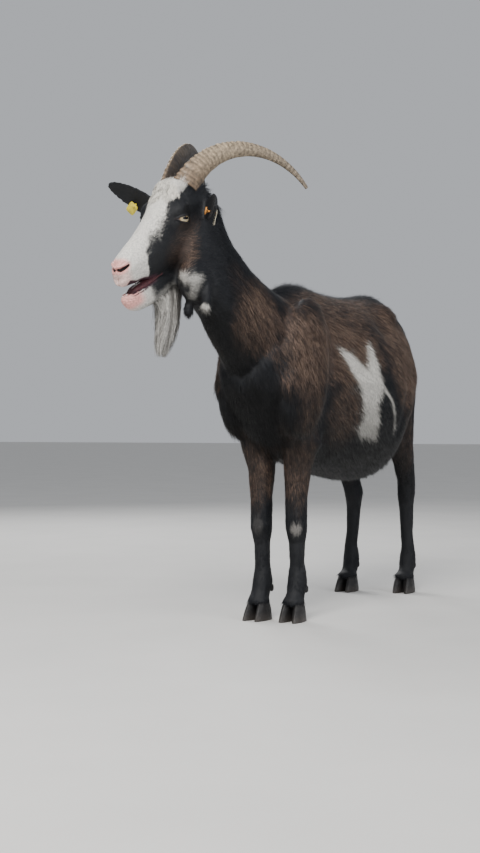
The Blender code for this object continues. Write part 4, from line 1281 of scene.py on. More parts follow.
def grow_coat(skin, points, normals, weights, bare, material):
    """All the tufts, as joined pieces that ride on the body."""
    random = np.random.default_rng(SEED)
    faces = triangles_of(skin.data)
    length, width, lift, density = hair_sizes(points, normals, weights)
    lies = even_lies(lie_of_hair(points, normals, weights), weights, edges_of(skin.data))
    region = weights.argmax(1)
    face_region = region[faces[:, 0]]
    left = (points[faces].mean(1) - ANCHOR)[:, 0] > 0
    factor = 1.0
    for piece, names, spans, side in COAT_PIECES:
        kept = np.isin(face_region, [i for i, name in enumerate(REGIONS) if name.startswith(names)])
        if side:
            kept &= left == (side > 0)
        chosen, shares = sow(points, faces[kept], density * (1 - bare) * factor, random)
        corners = faces[kept][chosen]
        live = interpolated(bare, corners, shares) < BARE_LIMIT
        corners, shares = corners[live], shares[live]
        roots, lie, long, wide, raised, on_head, on_jaw = (
            interpolated(values, corners, shares)
            for values in (points, lies, length, width, lift, weight_of(weights, "head"),
                           weight_of(weights, "lower_jaw")))
        outs = unit(interpolated(normals, corners, shares))
        count = len(roots)
        lie = unit(lie - outs * (lie * outs).sum(1, keepdims=True))
        angle = random.normal(0, TURN_SCATTER, count)[:, None]
        lie = lie * np.cos(angle) + np.cross(outs, lie) * np.sin(angle)
        long = long * np.exp(random.normal(0, LENGTH_SCATTER, count)) * (1 + 0.25 * ruffle(roots, 0.03, 9))
        wide = wide * np.exp(random.normal(0, WIDTH_SCATTER, count))
        blocked = (horn_ratio(roots + lie * long[:, None]) < 1.0) & (horn_ratio(roots) > 1.15)
        long = np.where(blocked, long * 0.45, long)
        raised = raised + random.normal(0, LIFT_SCATTER, count)
        label = region[corners[:, 0]]
        pull, lock = gathered(roots, lie, long, label, random)
        blade, heights = blades(roots, lie, outs, long, wide, raised, pull, spans)
        shade = random.normal(0, 0.5, lock.max() + 1)[lock] * 0.6 + random.normal(0, 0.45, count)
        shade = np.clip(shade + 0.5 * ruffle(roots, 0.02, 5), -1, 1)
        marks = markings(roots, on_head, on_jaw, shade)
        colour = mixed(marks, shade)
        tips = tip_colour(colour, marks, shade)
        shadow = 1 - BELLY_SHADOW * smooth_step(0.15, -0.6, outs[:, [2]])
        flat = unwrap(roots, outs, label)
        chunks = max(1, math.ceil(count * len(blade_pattern(spans)) / TUFT_LIMIT))
        order = np.argsort(roots[:, 1], kind="stable")
        for number, rows in enumerate(np.array_split(order, chunks), 1):
            name = piece if chunks == 1 else f"{piece}_{number}"
            make_coat_piece(name, blade[rows], heights, (colour * shadow)[rows], (tips * shadow)[rows],
                            flat[rows], spans, outs[rows], material)


def tip_colour(colour, marks, shade):
    """Colours of the tips: like the hair's own, and on the brown parts sun-bleached and greyed as a painted
    sheen.
    """
    brown = np.clip(marks["brown"] * 1.2, 0, 1)[:, None] * (1 - marks["white"])[:, None]
    share = brown * np.clip(0.32 + 0.75 * shade, 0.0, 0.9)[:, None]
    return colour * (1 - share) + BLEACHED_AND_SHEEN_TIPS * share


def make_coat_piece(name, blade, heights, colour, tips, flat, spans, outs, material):
    """One joined mesh of tufts with its colours and its OFBake map."""
    count, per = blade.shape[:2]
    pattern = blade_pattern(spans)
    faces = (pattern[None] + (np.arange(count) * per)[:, None, None]).reshape(-1, 3)
    thing = mesh_from(name, blade.reshape(-1, 3), faces, material)
    share = (heights ** 0.8)[None, :, None]
    tint = colour[:, None] * (1 - share) * (0.82 + 0.18 * share) + tips[:, None] * share
    colour_attribute(thing.data, "tint", tint.reshape(-1, 3))
    add_patches(thing.data, flat, faces, per, heights)
    blade_normals(thing.data, np.repeat(outs, per, axis=0))
    finished(thing, "hide")


# ---------------------------------------------------------------- horns, hooves, eyes, beard, tags
def tube(rings):
    """Points and triangles of a closed tube through rings of points."""
    rings = np.asarray(rings, float)
    rows, count = rings.shape[:2]
    points = np.vstack((rings.reshape(-1, 3), rings[0].mean(0)[None], rings[-1].mean(0)[None]))
    i = np.arange(count)
    j = (i + 1) % count
    faces = []
    for row in range(rows - 1):
        a, b = row * count, (row + 1) * count
        faces.append(np.stack((a + i, a + j, b + j), 1))
        faces.append(np.stack((a + i, b + j, b + i), 1))
    first, last = rows * count, rows * count + 1
    faces.append(np.stack((np.full(count, first), j, i), 1))
    top = (rows - 1) * count
    faces.append(np.stack((np.full(count, last), top + i, top + j), 1))
    return points, np.vstack(faces)


def solid_from(name, tubes, material):
    """One piece from several closed tubes, with all its faces outward."""
    points, faces, start = [], [], 0
    for part_points, part_faces in tubes:
        a, b, c = part_points[part_faces].transpose(1, 0, 2)
        if (np.cross(a, b) * c).sum() < 0:
            part_faces = part_faces[:, ::-1]
        points.append(part_points)
        faces.append(part_faces + start)
        start += len(part_points)
    return mesh_from(name, np.vstack(points), np.vstack(faces), material)


HORN_ROOT = np.array((0.025, 0.082, 0.046))
HORN_BURIED = 0.014
HORN_LENGTH = 0.378
# Degrees up from level and out from the head's own heading, and sizes: at the root, at the tip
HORN_RISE = {"left": (60.5, -49.0), "right": (65.0, -50.0)}
HORN_SPLAY = {"left": (14.0, 18.0), "right": (18.0, 36.0)}
HORN_HALF_DEPTH = (0.032, 0.0045)
HORN_HALF_WIDTH = (0.022, 0.0035)
HORN_TAPER = 0.84
HORN_RINGS = 260
HORN_GROWTH = (31, 118)         # coarse and fine rings of growth along a horn
HORN_RELIEF = (0.012, 0.010, 0.045)             # of coarse rings, fine rings and swellings
HORN_KEEL = 0.52                # how much narrower a horn is in front
HORN_FLAT = 0.70                # how far its inner side bulges, against the outer one
HORN_CORNERS = 44
HORN_COLOURS = ((0.0, (0.170, 0.115, 0.072, 1)), (0.30, (0.300, 0.235, 0.160, 1)),
                (0.80, (0.225, 0.178, 0.128, 1)), (1.0, (0.225, 0.180, 0.135, 1)))
# the inner faces: partly the horn's own darker colour, partly painted shade
HORN_INNER_DARK_AND_SHADE = (0.022, 0.017, 0.015, 1)            # the inner faces


def horn_path(side, sign):
    """Stations of a horn: share of its length, place, axes across and up, half width and depth."""
    place = from_head(HORN_ROOT * (sign, 1, 1))
    stride = (HORN_LENGTH + HORN_BURIED) / HORN_RINGS
    found = []
    for i in range(HORN_RINGS + 1):
        t = i / HORN_RINGS
        rise = math.radians(np.interp(t, (0, 1), HORN_RISE[side]))
        heading = math.radians(HEAD_YAW - sign * np.interp(t, (0, 1), HORN_SPLAY[side]))
        along = np.array((-math.sin(heading) * math.cos(rise), math.cos(heading) * math.cos(rise),
                          math.sin(rise)))
        place = place + along * (stride if i else -HORN_BURIED)
        across = np.array((math.cos(heading), math.sin(heading), 0.0))
        taper = t ** HORN_TAPER
        found.append((t, place, across, unit(np.cross(across, along)),
                      np.interp(taper, (0, 1), HORN_HALF_WIDTH), np.interp(taper, (0, 1), HORN_HALF_DEPTH)))
    return found


def horn_ratio(points):
    """Distance to the nearer horn's middle line, 1 at about its surface."""
    best = np.full(len(points), 9.0)
    for side, sign in SIDES:
        path = [row for row in horn_path(side, sign) if row[0] < 0.45][::8]
        gap, share = path_distance(points, np.array([row[1] for row in path]))
        radius = np.interp(share, (0, 1), [0.55 * (row[4] + row[5]) for row in (path[0], path[-1])])
        best = np.minimum(best, gap / radius)
    return best


def horn_tube(side, sign):
    """Scimitar horn with a keel in front, a flat inner face and rings of growth.

    The last item holds what is stored at each point: the share of the horn's length, how far the
    point is on the inner face, and how high it is on a ring.
    """
    angle = round_angles(HORN_CORNERS)
    c, s = np.cos(angle), np.sin(angle)
    lean = np.sign(c) * np.abs(c) ** (2 / 2.2)
    rise_of = np.sign(s) * np.abs(s) ** (2 / 2.2)
    front = np.clip(rise_of, 0, 1)
    rings, shares, crests = [], [], []
    for t, place, across, up, width, depth in horn_path(side, sign):
        fade = (1 - t) ** 0.5
        beat = 2 * np.pi * (t * HORN_GROWTH[0] + 0.7 * noise.noise(Vector((t * 9, sign, 0))))
        ring = 0.5 + 0.5 * math.sin(beat + 0.6 * math.sin(beat))
        fine = math.sin(2 * np.pi * t * HORN_GROWTH[1] + 3 * noise.noise(Vector((t * 30, sign, 7))))
        coarse = noise.noise(Vector((t * 22, sign * 3, 1)))
        wave = 1 + fade * sum(high * by for high, by in zip(HORN_RELIEF, (ring, fine, coarse)))
        keel = 1 - HORN_KEEL * front ** 1.4
        inner = np.where(c * sign < 0, HORN_FLAT, 1.0)
        knob = 1 + fade * 0.075 * front ** 2 * (ring - 0.4)
        grain = np.array([noise.noise(Vector((math.cos(a) * 3, math.sin(a) * 3 + 5 * sign, t * 14)))
                          for a in angle]) * 0.022
        x = width * lean * keel * inner * (wave + grain)
        z = depth * rise_of * knob * (wave + grain)
        rings.append(place + across * x[:, None] + up * z[:, None])
        shares += [t] * HORN_CORNERS
        crests += list((0.25 + 0.35 * front) * ring + (0.75 - 0.35 * front) * (0.5 + 0.5 * fine)
                       + grain * 10)
    # the inner face, painted dark: partly darker horn, partly painted shade
    dark = np.tile(smooth_step(0.10, 0.42, -c * sign), HORN_RINGS + 1)
    stores = {name: np.append(values, (0.0, 0.0))
              for name, values in (("share", shares), ("inner", dark), ("crest", crests))}
    return *tube(rings), stores


def horn_material():
    """Grey-tan horn, ringed, with painted shade in the grooves, darker toward the tip, and dark inner faces
    that are partly darker horn and partly painted shade.
    """
    material, shader = new_material("horn", 0.55, 0.4)
    rings = stored(material, "crest")
    along = ramp_of(material, stored(material, "share"), HORN_COLOURS)
    streak = ranged(material, noise_of(material, 170, 4.0, 0.65), 0.40, 1.45)
    # painted shade: lower on a ring is darker
    banded = ranged(material, rings, 0.28, 1.40, 0.05, 0.90)
    outer = scaled_colour(material, along, product(material, streak, banded))
    patchy = ranged(material, noise_of(material, 40, 4.0), 0.82, 1.0)
    inner = product(material, stored(material, "inner"), patchy)
    coloured(material, shader, blend(material, inner, outer, HORN_INNER_DARK_AND_SHADE),
             ranged(material, noise_of(material, 140), 0.42, 0.70))
    fine = noise_of(material, 700, 3.0)
    height = add(material, "ShaderNodeMix", {0: 0.45, 2: rings, 3: fine}, data_type="FLOAT").outputs[0]
    bump(material, shader, height, 0.0007, 0.8)
    return material


# Height over the ground, toe and heel reach, width
CLAW = (
    (0.000, 0.0425, 0.0270, 0.0265), (0.0015, 0.0440, 0.0285, 0.0285), (0.004, 0.043, 0.029, 0.0285),
    (0.022, 0.034, 0.028, 0.0270), (0.038, 0.024, 0.025, 0.0240), (0.050, 0.012, 0.016, 0.0180))
CLAW_POINT = 0.25               # how much narrower a claw is at its toe
CLAW_BACK = 0.016
CLEFT = 0.0012                  # half the gap between the claws, and the same at the toe
CLEFT_TOE = 0.0030
CLAW_RINGS = 0.0055             # from one ring of growth to the next
TOE_OUT = 4.0                   # degrees
CLAW_CORNERS = 40
DEWCLAW_AT = np.array((0.0115, 0.0300, 0.0740))
DEWCLAW_RADII = np.array((0.0060, 0.0075, 0.0110))
DEWCLAW_TILT = 20               # degrees
DEWCLAW_CORNERS = 24


def claw_tube(foot, side, half):
    """Half of a cloven hoof with rings of growth in its wall."""
    x, y = FEET[f"{foot}_{side}"]
    turn = np.array(Matrix.Rotation(math.radians(TOE_OUT if side == "left" else -TOE_OUT), 3, "Z"))
    angle = round_angles(CLAW_CORNERS)
    reach = np.cos(angle)
    ahead = np.clip(reach, 0, 1)
    seed = 5.0 * x + 9.0 * y + half
    rings = []
    for z, toe, heel, width in spline(CLAW, 7):
        ridge = 1 + 0.012 * math.sin(z * 2 * np.pi / CLAW_RINGS) * (z > 0.003)
        chip = np.array([noise.noise(Vector((math.cos(a) * 2 + seed, math.sin(a) * 2, z * 90)))
                         for a in angle]) * 0.0008
        along = -np.where(reach > 0, toe, heel) * reach * ridge
        out = np.sin(angle) * (1 - CLAW_POINT * ahead ** 2) * (width / 2 * ridge + chip * (z > 0.001))
        middle = CLEFT + (CLEFT_TOE - CLEFT) * ahead + width / 2
        ring = np.stack((half * (middle + out), along, np.full(CLAW_CORNERS, max(z, 0.0))), 1)
        rings.append(ring @ turn.T + (x, y - CLAW_BACK, 0) + ANCHOR)
    return tube(rings)


def dewclaw_tube(foot, side, half):
    """Small horny nub behind the fetlock."""
    x, y = FEET[f"{foot}_{side}"]
    turn = np.array(Matrix.Rotation(math.radians(DEWCLAW_TILT), 3, "X"))
    rings = []
    angle = round_angles(DEWCLAW_CORNERS)
    for slope in np.linspace(-88, 88, 15):
        a = math.radians(slope)
        size = math.cos(a) * (1 + 0.03 * math.sin(slope / 9))
        ring = np.stack((np.cos(angle) * size, np.sin(angle) * size,
                         np.full(DEWCLAW_CORNERS, math.sin(a))), 1) * DEWCLAW_RADII
        rings.append(ring @ turn.T + (x + half * DEWCLAW_AT[0], y + DEWCLAW_AT[1], DEWCLAW_AT[2]) + ANCHOR)
    return tube(rings)


def hoof_material():
    """Dark grey hoof horn, ringed, scuffed and dusty low down."""
    material, shader = new_material("hoof", 0.5, 0.4)
    place = own_place(material)
    high = add(material, "ShaderNodeSeparateXYZ", {"Vector": place}).outputs["Z"]
    low = ranged(material, high, 1.0, 0.0, 0.002, 0.022)
    base = blend(material, low, (0.011, 0.010, 0.010, 1), (0.042, 0.036, 0.032, 1))
    scuff = ranged(material, noise_of(material, 170, 4.0, 0.65), 0.60, 1.45)
    coloured(material, shader, scaled_colour(material, base, scuff),
             ranged(material, noise_of(material, 90), 0.40, 0.70))
    bump(material, shader, noise_of(material, 160, 4.0, 0.6, (1, 1, 6)), 0.0008, 0.7)
    return material


EYE_ROWS = 90
EYE_CORNERS = 96
CORNEA = (0.0007, 0.0125, 0.0040)   # bulge, and the distances where it starts and is full
IRIS_REACH = 0.0150                 # the ramp of colours ends this far from the pupil's middle
IRIS_COLOURS = ((0.0, (0.24, 0.16, 0.07, 1)), (0.40, (0.50, 0.42, 0.25, 1)),
                (0.72, (0.44, 0.34, 0.18, 1)), (0.84, (0.12, 0.07, 0.04, 1)),
                (1.0, (0.06, 0.035, 0.025, 1)))
PUPIL = (0.0074, 0.0032)            # half width and half height
PUPIL_BLACK = (0.004, 0.004, 0.006, 1)
GAZE = np.array((-0.0022, 0.0014))  # how far the iris is turned forward and up


def eye_piece(side, sign, material):
    """Eyeball with a bulging cornea, a pale iris and a level, oblong pupil."""
    centre, axes = eye_frame(sign)
    bulge, start, full = CORNEA
    rings, spots = [], []
    angle = round_angles(EYE_CORNERS)
    for slope in np.radians(np.linspace(0.6, 178, EYE_ROWS)):
        sine = math.sin(slope)
        ring = np.stack((np.cos(angle) * sine, np.sin(angle) * sine,
                         np.full(EYE_CORNERS, math.cos(slope))), 1) * EYE_RADII
        off = np.hypot(ring[:, 0], ring[:, 1])
        ring[:, 2] += (ring[:, 2] > 0) * bulge * smooth_step(start, full, off)
        rings.append(from_head(ring @ axes + centre))
        spots.append(ring)
    points, faces = tube(rings)
    thing = solid_from("eye_skin_" + side, [(points, faces)], material)
    local = np.vstack((np.concatenate(spots), spots[0].mean(0), spots[-1].mean(0)))
    local[:, :2] -= GAZE
    attribute(thing.data, "spot", "FLOAT_VECTOR", "vector", local)
    return finished(thing, "eye", "eye_" + side)


def eye_material():
    """Cream-yellow iris flecked from the pupil outwards, under a wet coat."""
    material, shader = new_material("eye", 0.22, 0.5, Coat_Weight=1.0, Coat_Roughness=0.03)
    spot = stored(material, "spot", "Vector")
    flat = add(material, "ShaderNodeVectorMath", {0: spot, 1: (1, 1, 0)}, operation="MULTIPLY")
    flat = flat.outputs["Vector"]
    away = add(material, "ShaderNodeVectorMath", {0: flat}, operation="LENGTH").outputs["Value"]
    way = add(material, "ShaderNodeVectorMath", {0: flat}, operation="NORMALIZE").outputs["Vector"]
    rays = add(material, "ShaderNodeTexNoise", {"Vector": way, "Scale": 9.0, "Detail": 4.0}).outputs["Fac"]
    blot = add(material, "ShaderNodeTexNoise", {"Vector": spot, "Scale": 420.0, "Detail": 3.0}).outputs["Fac"]
    fleck = product(material, ranged(material, rays, 0.72, 1.22), ranged(material, blot, 0.85, 1.15))
    outwards = ramp_of(material, ranged(material, away, 0.0, 1.0, 0.0, IRIS_REACH), IRIS_COLOURS)
    iris = scaled_colour(material, outwards, fleck)
    half_wide, half_high = PUPIL
    across = add(material, "ShaderNodeVectorMath",
                 {0: flat, 1: (1 / half_wide, 1 / half_high, 0)}, operation="MULTIPLY").outputs["Vector"]
    parts = add(material, "ShaderNodeSeparateXYZ", {"Vector": across})
    powers = []
    for axis in ("X", "Y"):
        size = add(material, "ShaderNodeMath", {0: parts.outputs[axis]}, operation="ABSOLUTE").outputs[0]
        powers.append(add(material, "ShaderNodeMath", {0: size, 1: 3.0}, operation="POWER").outputs[0])
    total = add(material, "ShaderNodeMath", {0: powers[0], 1: powers[1]}, operation="ADD").outputs[0]
    pupil = ranged(material, total, 1.0, 0.0, 0.80, 1.25)
    coloured(material, shader, blend(material, pupil, iris, PUPIL_BLACK))
    return material


JAW_HINGE = np.array((0.0, 0.050, -0.050))
JAW_OPEN = 6.0
JAW_TURN = np.array(Matrix.Rotation(math.radians(JAW_OPEN), 3, "X"))
BEARD_ROOT = np.array((0.0, -0.072, -0.108))
# The beard's stations: drop and drift back from its root, half width and half depth
BEARD = (
    (0.000, 0.002, 0.023, 0.042), (0.030, 0.007, 0.021, 0.035), (0.065, 0.009, 0.018, 0.028),
    (0.105, 0.004, 0.016, 0.027), (0.138, -0.003, 0.011, 0.022), (0.168, -0.008, 0.005, 0.010))
BEARD_PATCH = (0.020, 0.040)    # half width and half length of the patch it grows from
BEARD_DRAW = 0.60               # how far strands are drawn into their wisps
BEARD_REACH = (0.84, 0.13)      # how far down strands reach, and the scatter of that
BEARD_SWAY = 0.0028
BEARD_STRANDS = 2350
BEARD_WISPS = 90
BEARD_SPANS = 7
BEARD_HALF = 0.00048            # half thickness of a strand
BEARD_COLOURS = (np.array((0.085, 0.078, 0.072)), np.array((0.66, 0.64, 0.60)))
# The tongue's stations: place in the jaw's frame, half width and half thickness
TONGUE = (
    (0.0, -0.020, -0.080, 0.015, 0.011), (0.0, -0.080, -0.076, 0.015, 0.011),
    (0.0, -0.130, -0.067, 0.015, 0.010), (0.0, -0.168, -0.057, 0.013, 0.008),
    (0.0, -0.184, -0.056, 0.008, 0.004))
TONGUE_GROOVE = (0.003, 0.0016)     # half width and depth
TONGUE_CORNERS = 32


def from_jaw(points):
    """The open jaw's points in the world."""
    return from_head((points - JAW_HINGE) @ JAW_TURN.T + JAW_HINGE)


def strands(paths, half):
    """Points of three-sided strands along paths, and how far along each is."""
    spans = paths.shape[1] - 1
    rings, heights = [], []
    for i in range(spans):
        ahead = unit(paths[:, i + 1] - paths[:, i])
        side = unit(np.cross(ahead, np.array((0.31, 0.23, 0.92))))
        other = np.cross(ahead, side)
        size = (half * (1 - 0.45 * i / spans))[:, None]
        rings += [paths[:, i] + other * size, paths[:, i] - other * size, paths[:, i] + side * size]
        heights += [i / spans] * 3
    return np.stack(rings + [paths[:, -1]], 1), np.array(heights + [1.0])


def strand_piece(name, paths, leans, half, colour, flat, material, nodes=()):
    """One joined mesh of long strands."""
    blade, heights = strands(paths, half)
    count, per = blade.shape[:2]
    faces = blade_pattern(paths.shape[1] - 1)[None] + (np.arange(count) * per)[:, None, None]
    thing = mesh_from(name, blade.reshape(-1, 3), faces.reshape(-1, 3), material)
    tint = colour[:, None] * (0.84 + 0.16 * heights[None, :, None])
    colour_attribute(thing.data, "tint", tint.reshape(-1, 3))
    add_patches(thing.data, flat, faces.reshape(-1, 3), per, heights)
    rows = np.append(np.repeat(np.arange(paths.shape[1] - 1), 3), paths.shape[1] - 1)
    blade_normals(thing.data, leans[:, rows].reshape(-1, 3))
    return finished(thing, "beard" if nodes else "hide", *nodes)


def seeded_roots(points, normals, faces, chance, random):
    """Roots strewn over the skin and the skin's direction there."""
    chosen, shares = sow(points, faces, chance, random)
    corners = faces[chosen]
    return interpolated(points, corners, shares), unit(interpolated(normals, corners, shares))


def beard_chance(points, normals, jaw):
    """How thickly the beard grows: along the underside of the jaw, behind the chin."""
    x, y, z = to_head(points).T
    down = (normals @ HEAD_TURN)[:, 2]
    chance = jaw * smooth_step(-0.25, -0.6, down) * smooth_step(0.021, 0.014, np.abs(x))
    chance = chance * smooth_step(-0.146, -0.128, y) * smooth_step(-0.028, -0.042, y)
    return chance * smooth_step(-0.110, -0.118, z)


def beard_piece(points, normals, faces, jaw, material):
    """Long strands that grow from under the jaw and hang together in wisps."""
    random = np.random.default_rng(SEED + 1)
    chance = beard_chance(points, normals, jaw)
    whole = (areas_of(points, faces) * chance[faces].mean(1)).sum()
    roots, outs = seeded_roots(points, normals, faces, chance * BEARD_STRANDS / whole, random)
    count = len(roots)
    centre = from_jaw(BEARD_ROOT)
    yaw = math.radians(HEAD_YAW)
    across = np.array((math.cos(yaw), math.sin(yaw), 0))
    deep = np.array((-math.sin(yaw), math.cos(yaw), 0))
    a = np.clip((roots - centre) @ across / BEARD_PATCH[0], -1, 1)
    b = np.clip(((roots - centre) @ deep + 0.006) / BEARD_PATCH[1], -1.2, 1.1)
    wisps = random.random((BEARD_WISPS, 2)) * (1.8, 2.0) - (0.9, 1.0)
    near = ((a[:, None] - wisps[:, 0]) ** 2 + (b[:, None] - wisps[:, 1]) ** 2).argmin(1)
    loose = random.normal(0, 1, (count, 2))
    reach = random.normal(*BEARD_REACH, count) + random.normal(0, 0.09, BEARD_WISPS)[near]
    reach = np.clip(reach - 0.62 * smooth_step(-0.35, -1.05, b), 0.16, 1.04)
    stations = spline(BEARD, 6)
    rows = np.linspace(0, 1, len(stations))
    phase = random.random(BEARD_WISPS) * 6.28
    path = []
    for t in np.linspace(0, 1, BEARD_SPANS + 1):
        s = reach * t
        drop, back, wide, depth = [np.interp(s, rows, stations[:, k]) for k in range(4)]
        draw = BEARD_DRAW * t
        u = a * (1 - draw) + wisps[near, 0] * draw + 0.10 * t * loose[:, 0]
        v = b * (1 - draw) + wisps[near, 1] * draw + 0.10 * t * loose[:, 1]
        sway = BEARD_SWAY * t * np.sin(phase[near] + 6 * t + 0.8 * loose[:, 0])
        drift = back - 0.004 - 0.016 * s ** 2 * smooth_step(0.2, -0.8, v) + 0.5 * sway
        hung = centre + across * (u * wide + sway)[:, None] + deep * (v * depth + drift)[:, None]
        hung[:, 2] -= drop
        if t == 0:
            start = hung
        path.append(hung + (roots - outs * 0.001 - start) * (1 - t) ** 1.6)
    tone = random.normal(0, 0.30, BEARD_WISPS)[near] + random.normal(0, 0.18, count)
    bright = np.clip(0.50 + 0.45 * tone - 0.42 * smooth_step(0.20, 0.80, b), 0.04, 1)[:, None]
    colour = BEARD_COLOURS[0] * (1 - bright) + BEARD_COLOURS[1] * bright
    flat = 0.02 + (np.stack((a / 2.2, b / 2.6), 1) + 0.5) * 0.94
    leans = unit(across * a[:, None] + deep * b[:, None] - deep * 0.5)
    leans = np.repeat(leans[:, None], len(path), axis=1)
    return strand_piece("coat_beard", np.stack(path, 1), leans, np.full(count, BEARD_HALF), colour,
                        flat, material, ("beard",))


LOCK_SPANS = 6
LOCK_STRANDS = 70               # strands in a lock of the forelock
LOCK_DENSITY = 1200e3           # strands for each square metre
LOCK_LENGTH = 0.040
LOCK_RISE = (0.0007, 0.0018)    # how high its strands lie off the skin: at least, and in their bow
LOCK_WAVE = (0.0022, 0.021)     # half width and length of its waves
LOCK_HALF = 0.00024             # half thickness of a strand
LOCK_COLOUR = np.array((0.80, 0.765, 0.69))


def lock_tracks(tree, place, way, long, phase):
    """Each lock's wavy line over the skin, and the skin's direction along it."""
    tracks, ups = [], []
    for i in range(LOCK_SPANS + 1):
        t = i / LOCK_SPANS
        found = [tree.find_nearest(Vector(row)) for row in place]
        ground = np.array([row[0] for row in found])
        up = np.array([row[1] for row in found])
        way = unit(way - up * (way * up).sum(1)[:, None])
        side = np.cross(up, way)
        wave = LOCK_WAVE[0] * np.sin(phase + t * long / LOCK_WAVE[1] * 2 * np.pi) * min(1, 2 * t)
        arch = LOCK_RISE[1] * math.sin(math.pi * min(1, t * 1.1))
        bow = LOCK_RISE[0] + arch * (0.6 + 0.4 * np.sin(phase * 2))
        tracks.append(ground + up * bow[:, None] + side * wave[:, None])
        ups.append(up)
        place = ground + way * (long / LOCK_SPANS)[:, None]
    return np.stack(tracks, 1), np.stack(ups, 1)


def forelock_piece(points, normals, faces, face, bare, material):
    """Wavy hair that falls from between the horns over the forehead."""
    random = np.random.default_rng(SEED + 2)
    head = to_head(points)
    inside = smooth_step(0.002, 0.007, blaze(head)) * smooth_step(1.15, 1.25, horn_ratio(points))
    chance = face * inside * (1 - bare) * smooth_step(-0.004, 0.040, head[:, 1])
    chance = chance * smooth_step(0.015, 0.030, head[:, 2])
    roots, outs = seeded_roots(points, normals, faces, chance * LOCK_DENSITY, random)
    count = len(roots)
    kept = faces[(head[faces, 1].min(1) > -0.06) & (head[faces, 2].max(1) > -0.02)]
    tree = BVHTree.FromPolygons(points.tolist(), kept.tolist())
    heads = np.flatnonzero(random.random(count) < 1.0 / LOCK_STRANDS)
    lock = np.linalg.norm(roots[:, None] - roots[heads][None], axis=2).argmin(1)
    own = to_head(roots[heads])
    phase = 5.0 * ruffle(roots[heads], 0.022, 12) + random.normal(0, 0.5, len(heads))
    curve = 1.1 * ruffle(roots[heads], 0.030, 14) + random.normal(0, 0.10, len(heads))
    ahead = np.stack((0.9 * np.sign(own[:, 0]) * np.abs(own[:, 0] / 0.03) + curve,
                      -np.ones(len(heads)), np.zeros(len(heads))), 1) @ HEAD_TURN.T
    long = LOCK_LENGTH * np.exp(random.normal(0, 0.22, len(heads)))
    long = long * np.interp(own[:, 1], (0.02, 0.09), (0.6, 1.25))
    tracks, ups = lock_tracks(tree, roots[heads], unit(ahead), long, phase)
    offset = roots - roots[heads][lock]
    layer = random.random(count) * 0.0022
    t = np.linspace(0, 1, LOCK_SPANS + 1)[None, :, None]
    t = t * random.uniform(0.45, 1.0, count)[:, None, None]
    step = np.minimum((t * LOCK_SPANS).astype(int), LOCK_SPANS - 1)[:, :, 0]
    rest = t * LOCK_SPANS - step[:, :, None]
    track = tracks[lock[:, None], step] * (1 - rest) + tracks[lock[:, None], step + 1] * rest
    paths = track + offset[:, None] * (1 - 0.45 * t) + ups[lock] * layer[:, None, None]
    paths[:, 0] = roots - outs * ROOT_DEPTH
    tone = random.normal(0, 0.4, len(heads))[lock] + random.normal(0, 0.4, count)
    colour = np.clip(LOCK_COLOUR * (1 + 0.07 * tone[:, None]), 0.1, 0.95)
    flat = unwrap(roots, outs, np.zeros(count, int))
    return strand_piece("coat_forelock", paths, ups[lock], np.full(count, LOCK_HALF), colour, flat,
                        material)


def tongue_tube():
    """Tongue lying in the open jaw, with a groove along its middle."""
    rings = []
    angle = round_angles(TONGUE_CORNERS)
    for x, y, z, wide, thick in spline(TONGUE, 8):
        groove = TONGUE_GROOVE[1] * bell(np.cos(angle) * wide, TONGUE_GROOVE[0]) * (np.sin(angle) > 0)
        ring = np.stack((x + np.cos(angle) * wide, np.full(TONGUE_CORNERS, y),
                         z + np.sin(angle) * thick - groove), 1)
        rings.append(from_jaw(ring))
    return tube(rings)


def tongue_material():
    """Wet, dark and pebbled: its own red darkened as painted shade inside the mouth."""
    material, shader = new_material("tongue", 0.50, 0.30)
    mottle = ranged(material, noise_of(material, 240, 4.0), 0.65, 1.35)
    # both colours are darkened as painted shade inside the mouth
    base = blend(material, noise_of(material, 60), (0.040, 0.015, 0.022, 1), (0.130, 0.042, 0.045, 1))
    coloured(material, shader, scaled_colour(material, base, mottle))
    bumps = add(material, "ShaderNodeTexVoronoi", {"Vector": own_place(material), "Scale": 700.0})
    bump(material, shader, bumps.outputs["Distance"], 0.0006, 0.7)
    return material


EAR_ROOT = {"left": (0.044, 0.088, -0.022), "right": (0.048, 0.072, -0.041)}
EAR_AIM = {"left": (0.50, -0.68, -0.12), "right": (-0.92, -0.15, 0.54)}
EAR_FACE = {"left": (0.0, -1.0, 0.0), "right": (0.0, -0.75, -0.60)}
EAR_LENGTH = 0.182
TAG_AT = {"left": 0.42, "right": 0.56}
TAG_LOW = {"left": -0.010, "right": -0.016}
TAG_LEAN = {"left": 0.0, "right": 22.0}
TAG_FLAP = (0.0115, 0.0165, 0.0008)             # half width, height and thickness
TAG_BUTTON = (0.0085, 0.0012)                   # radius and half thickness of its round parts
TAG_STUD = (0.0038, 0.0012)
TAG_HUB = (0.0045, 0.0022)
TAG_ROD = 0.0022
TAG_DIRT = (0.16, 0.11, 0.05, 1)
# the cream is a painted highlight: the colour given to the left flap for its glint
TAG_COLOURS = (("yellow", (0.86, 0.70, 0.045)), ("orange", (0.62, 0.26, 0.05)),
               ("highlight_cream", (0.80, 0.74, 0.58)))
TAG_SPAN = {"left": (0.0065, -0.0165), "right": (-0.0165, 0.0065)}     # button and flap


def ear_axes(side, sign):
    """Root and axes of an ear: along it, up its width and out of its front."""
    aim = unit(np.array(EAR_AIM[side]))
    front = np.array(EAR_FACE[side])
    front = unit(front - aim * (front @ aim))
    up = np.cross(aim, front) * -sign
    return from_head(np.array(EAR_ROOT[side]) * (sign, 1, 1)), np.stack((aim, up, front))


SLAB_CORNERS = 48
SLAB_EDGE = ((-1, 1.0), (-0.75, 0.35), (-0.3, 0.0), (0.3, 0.0), (0.75, 0.35), (1, 1.0))


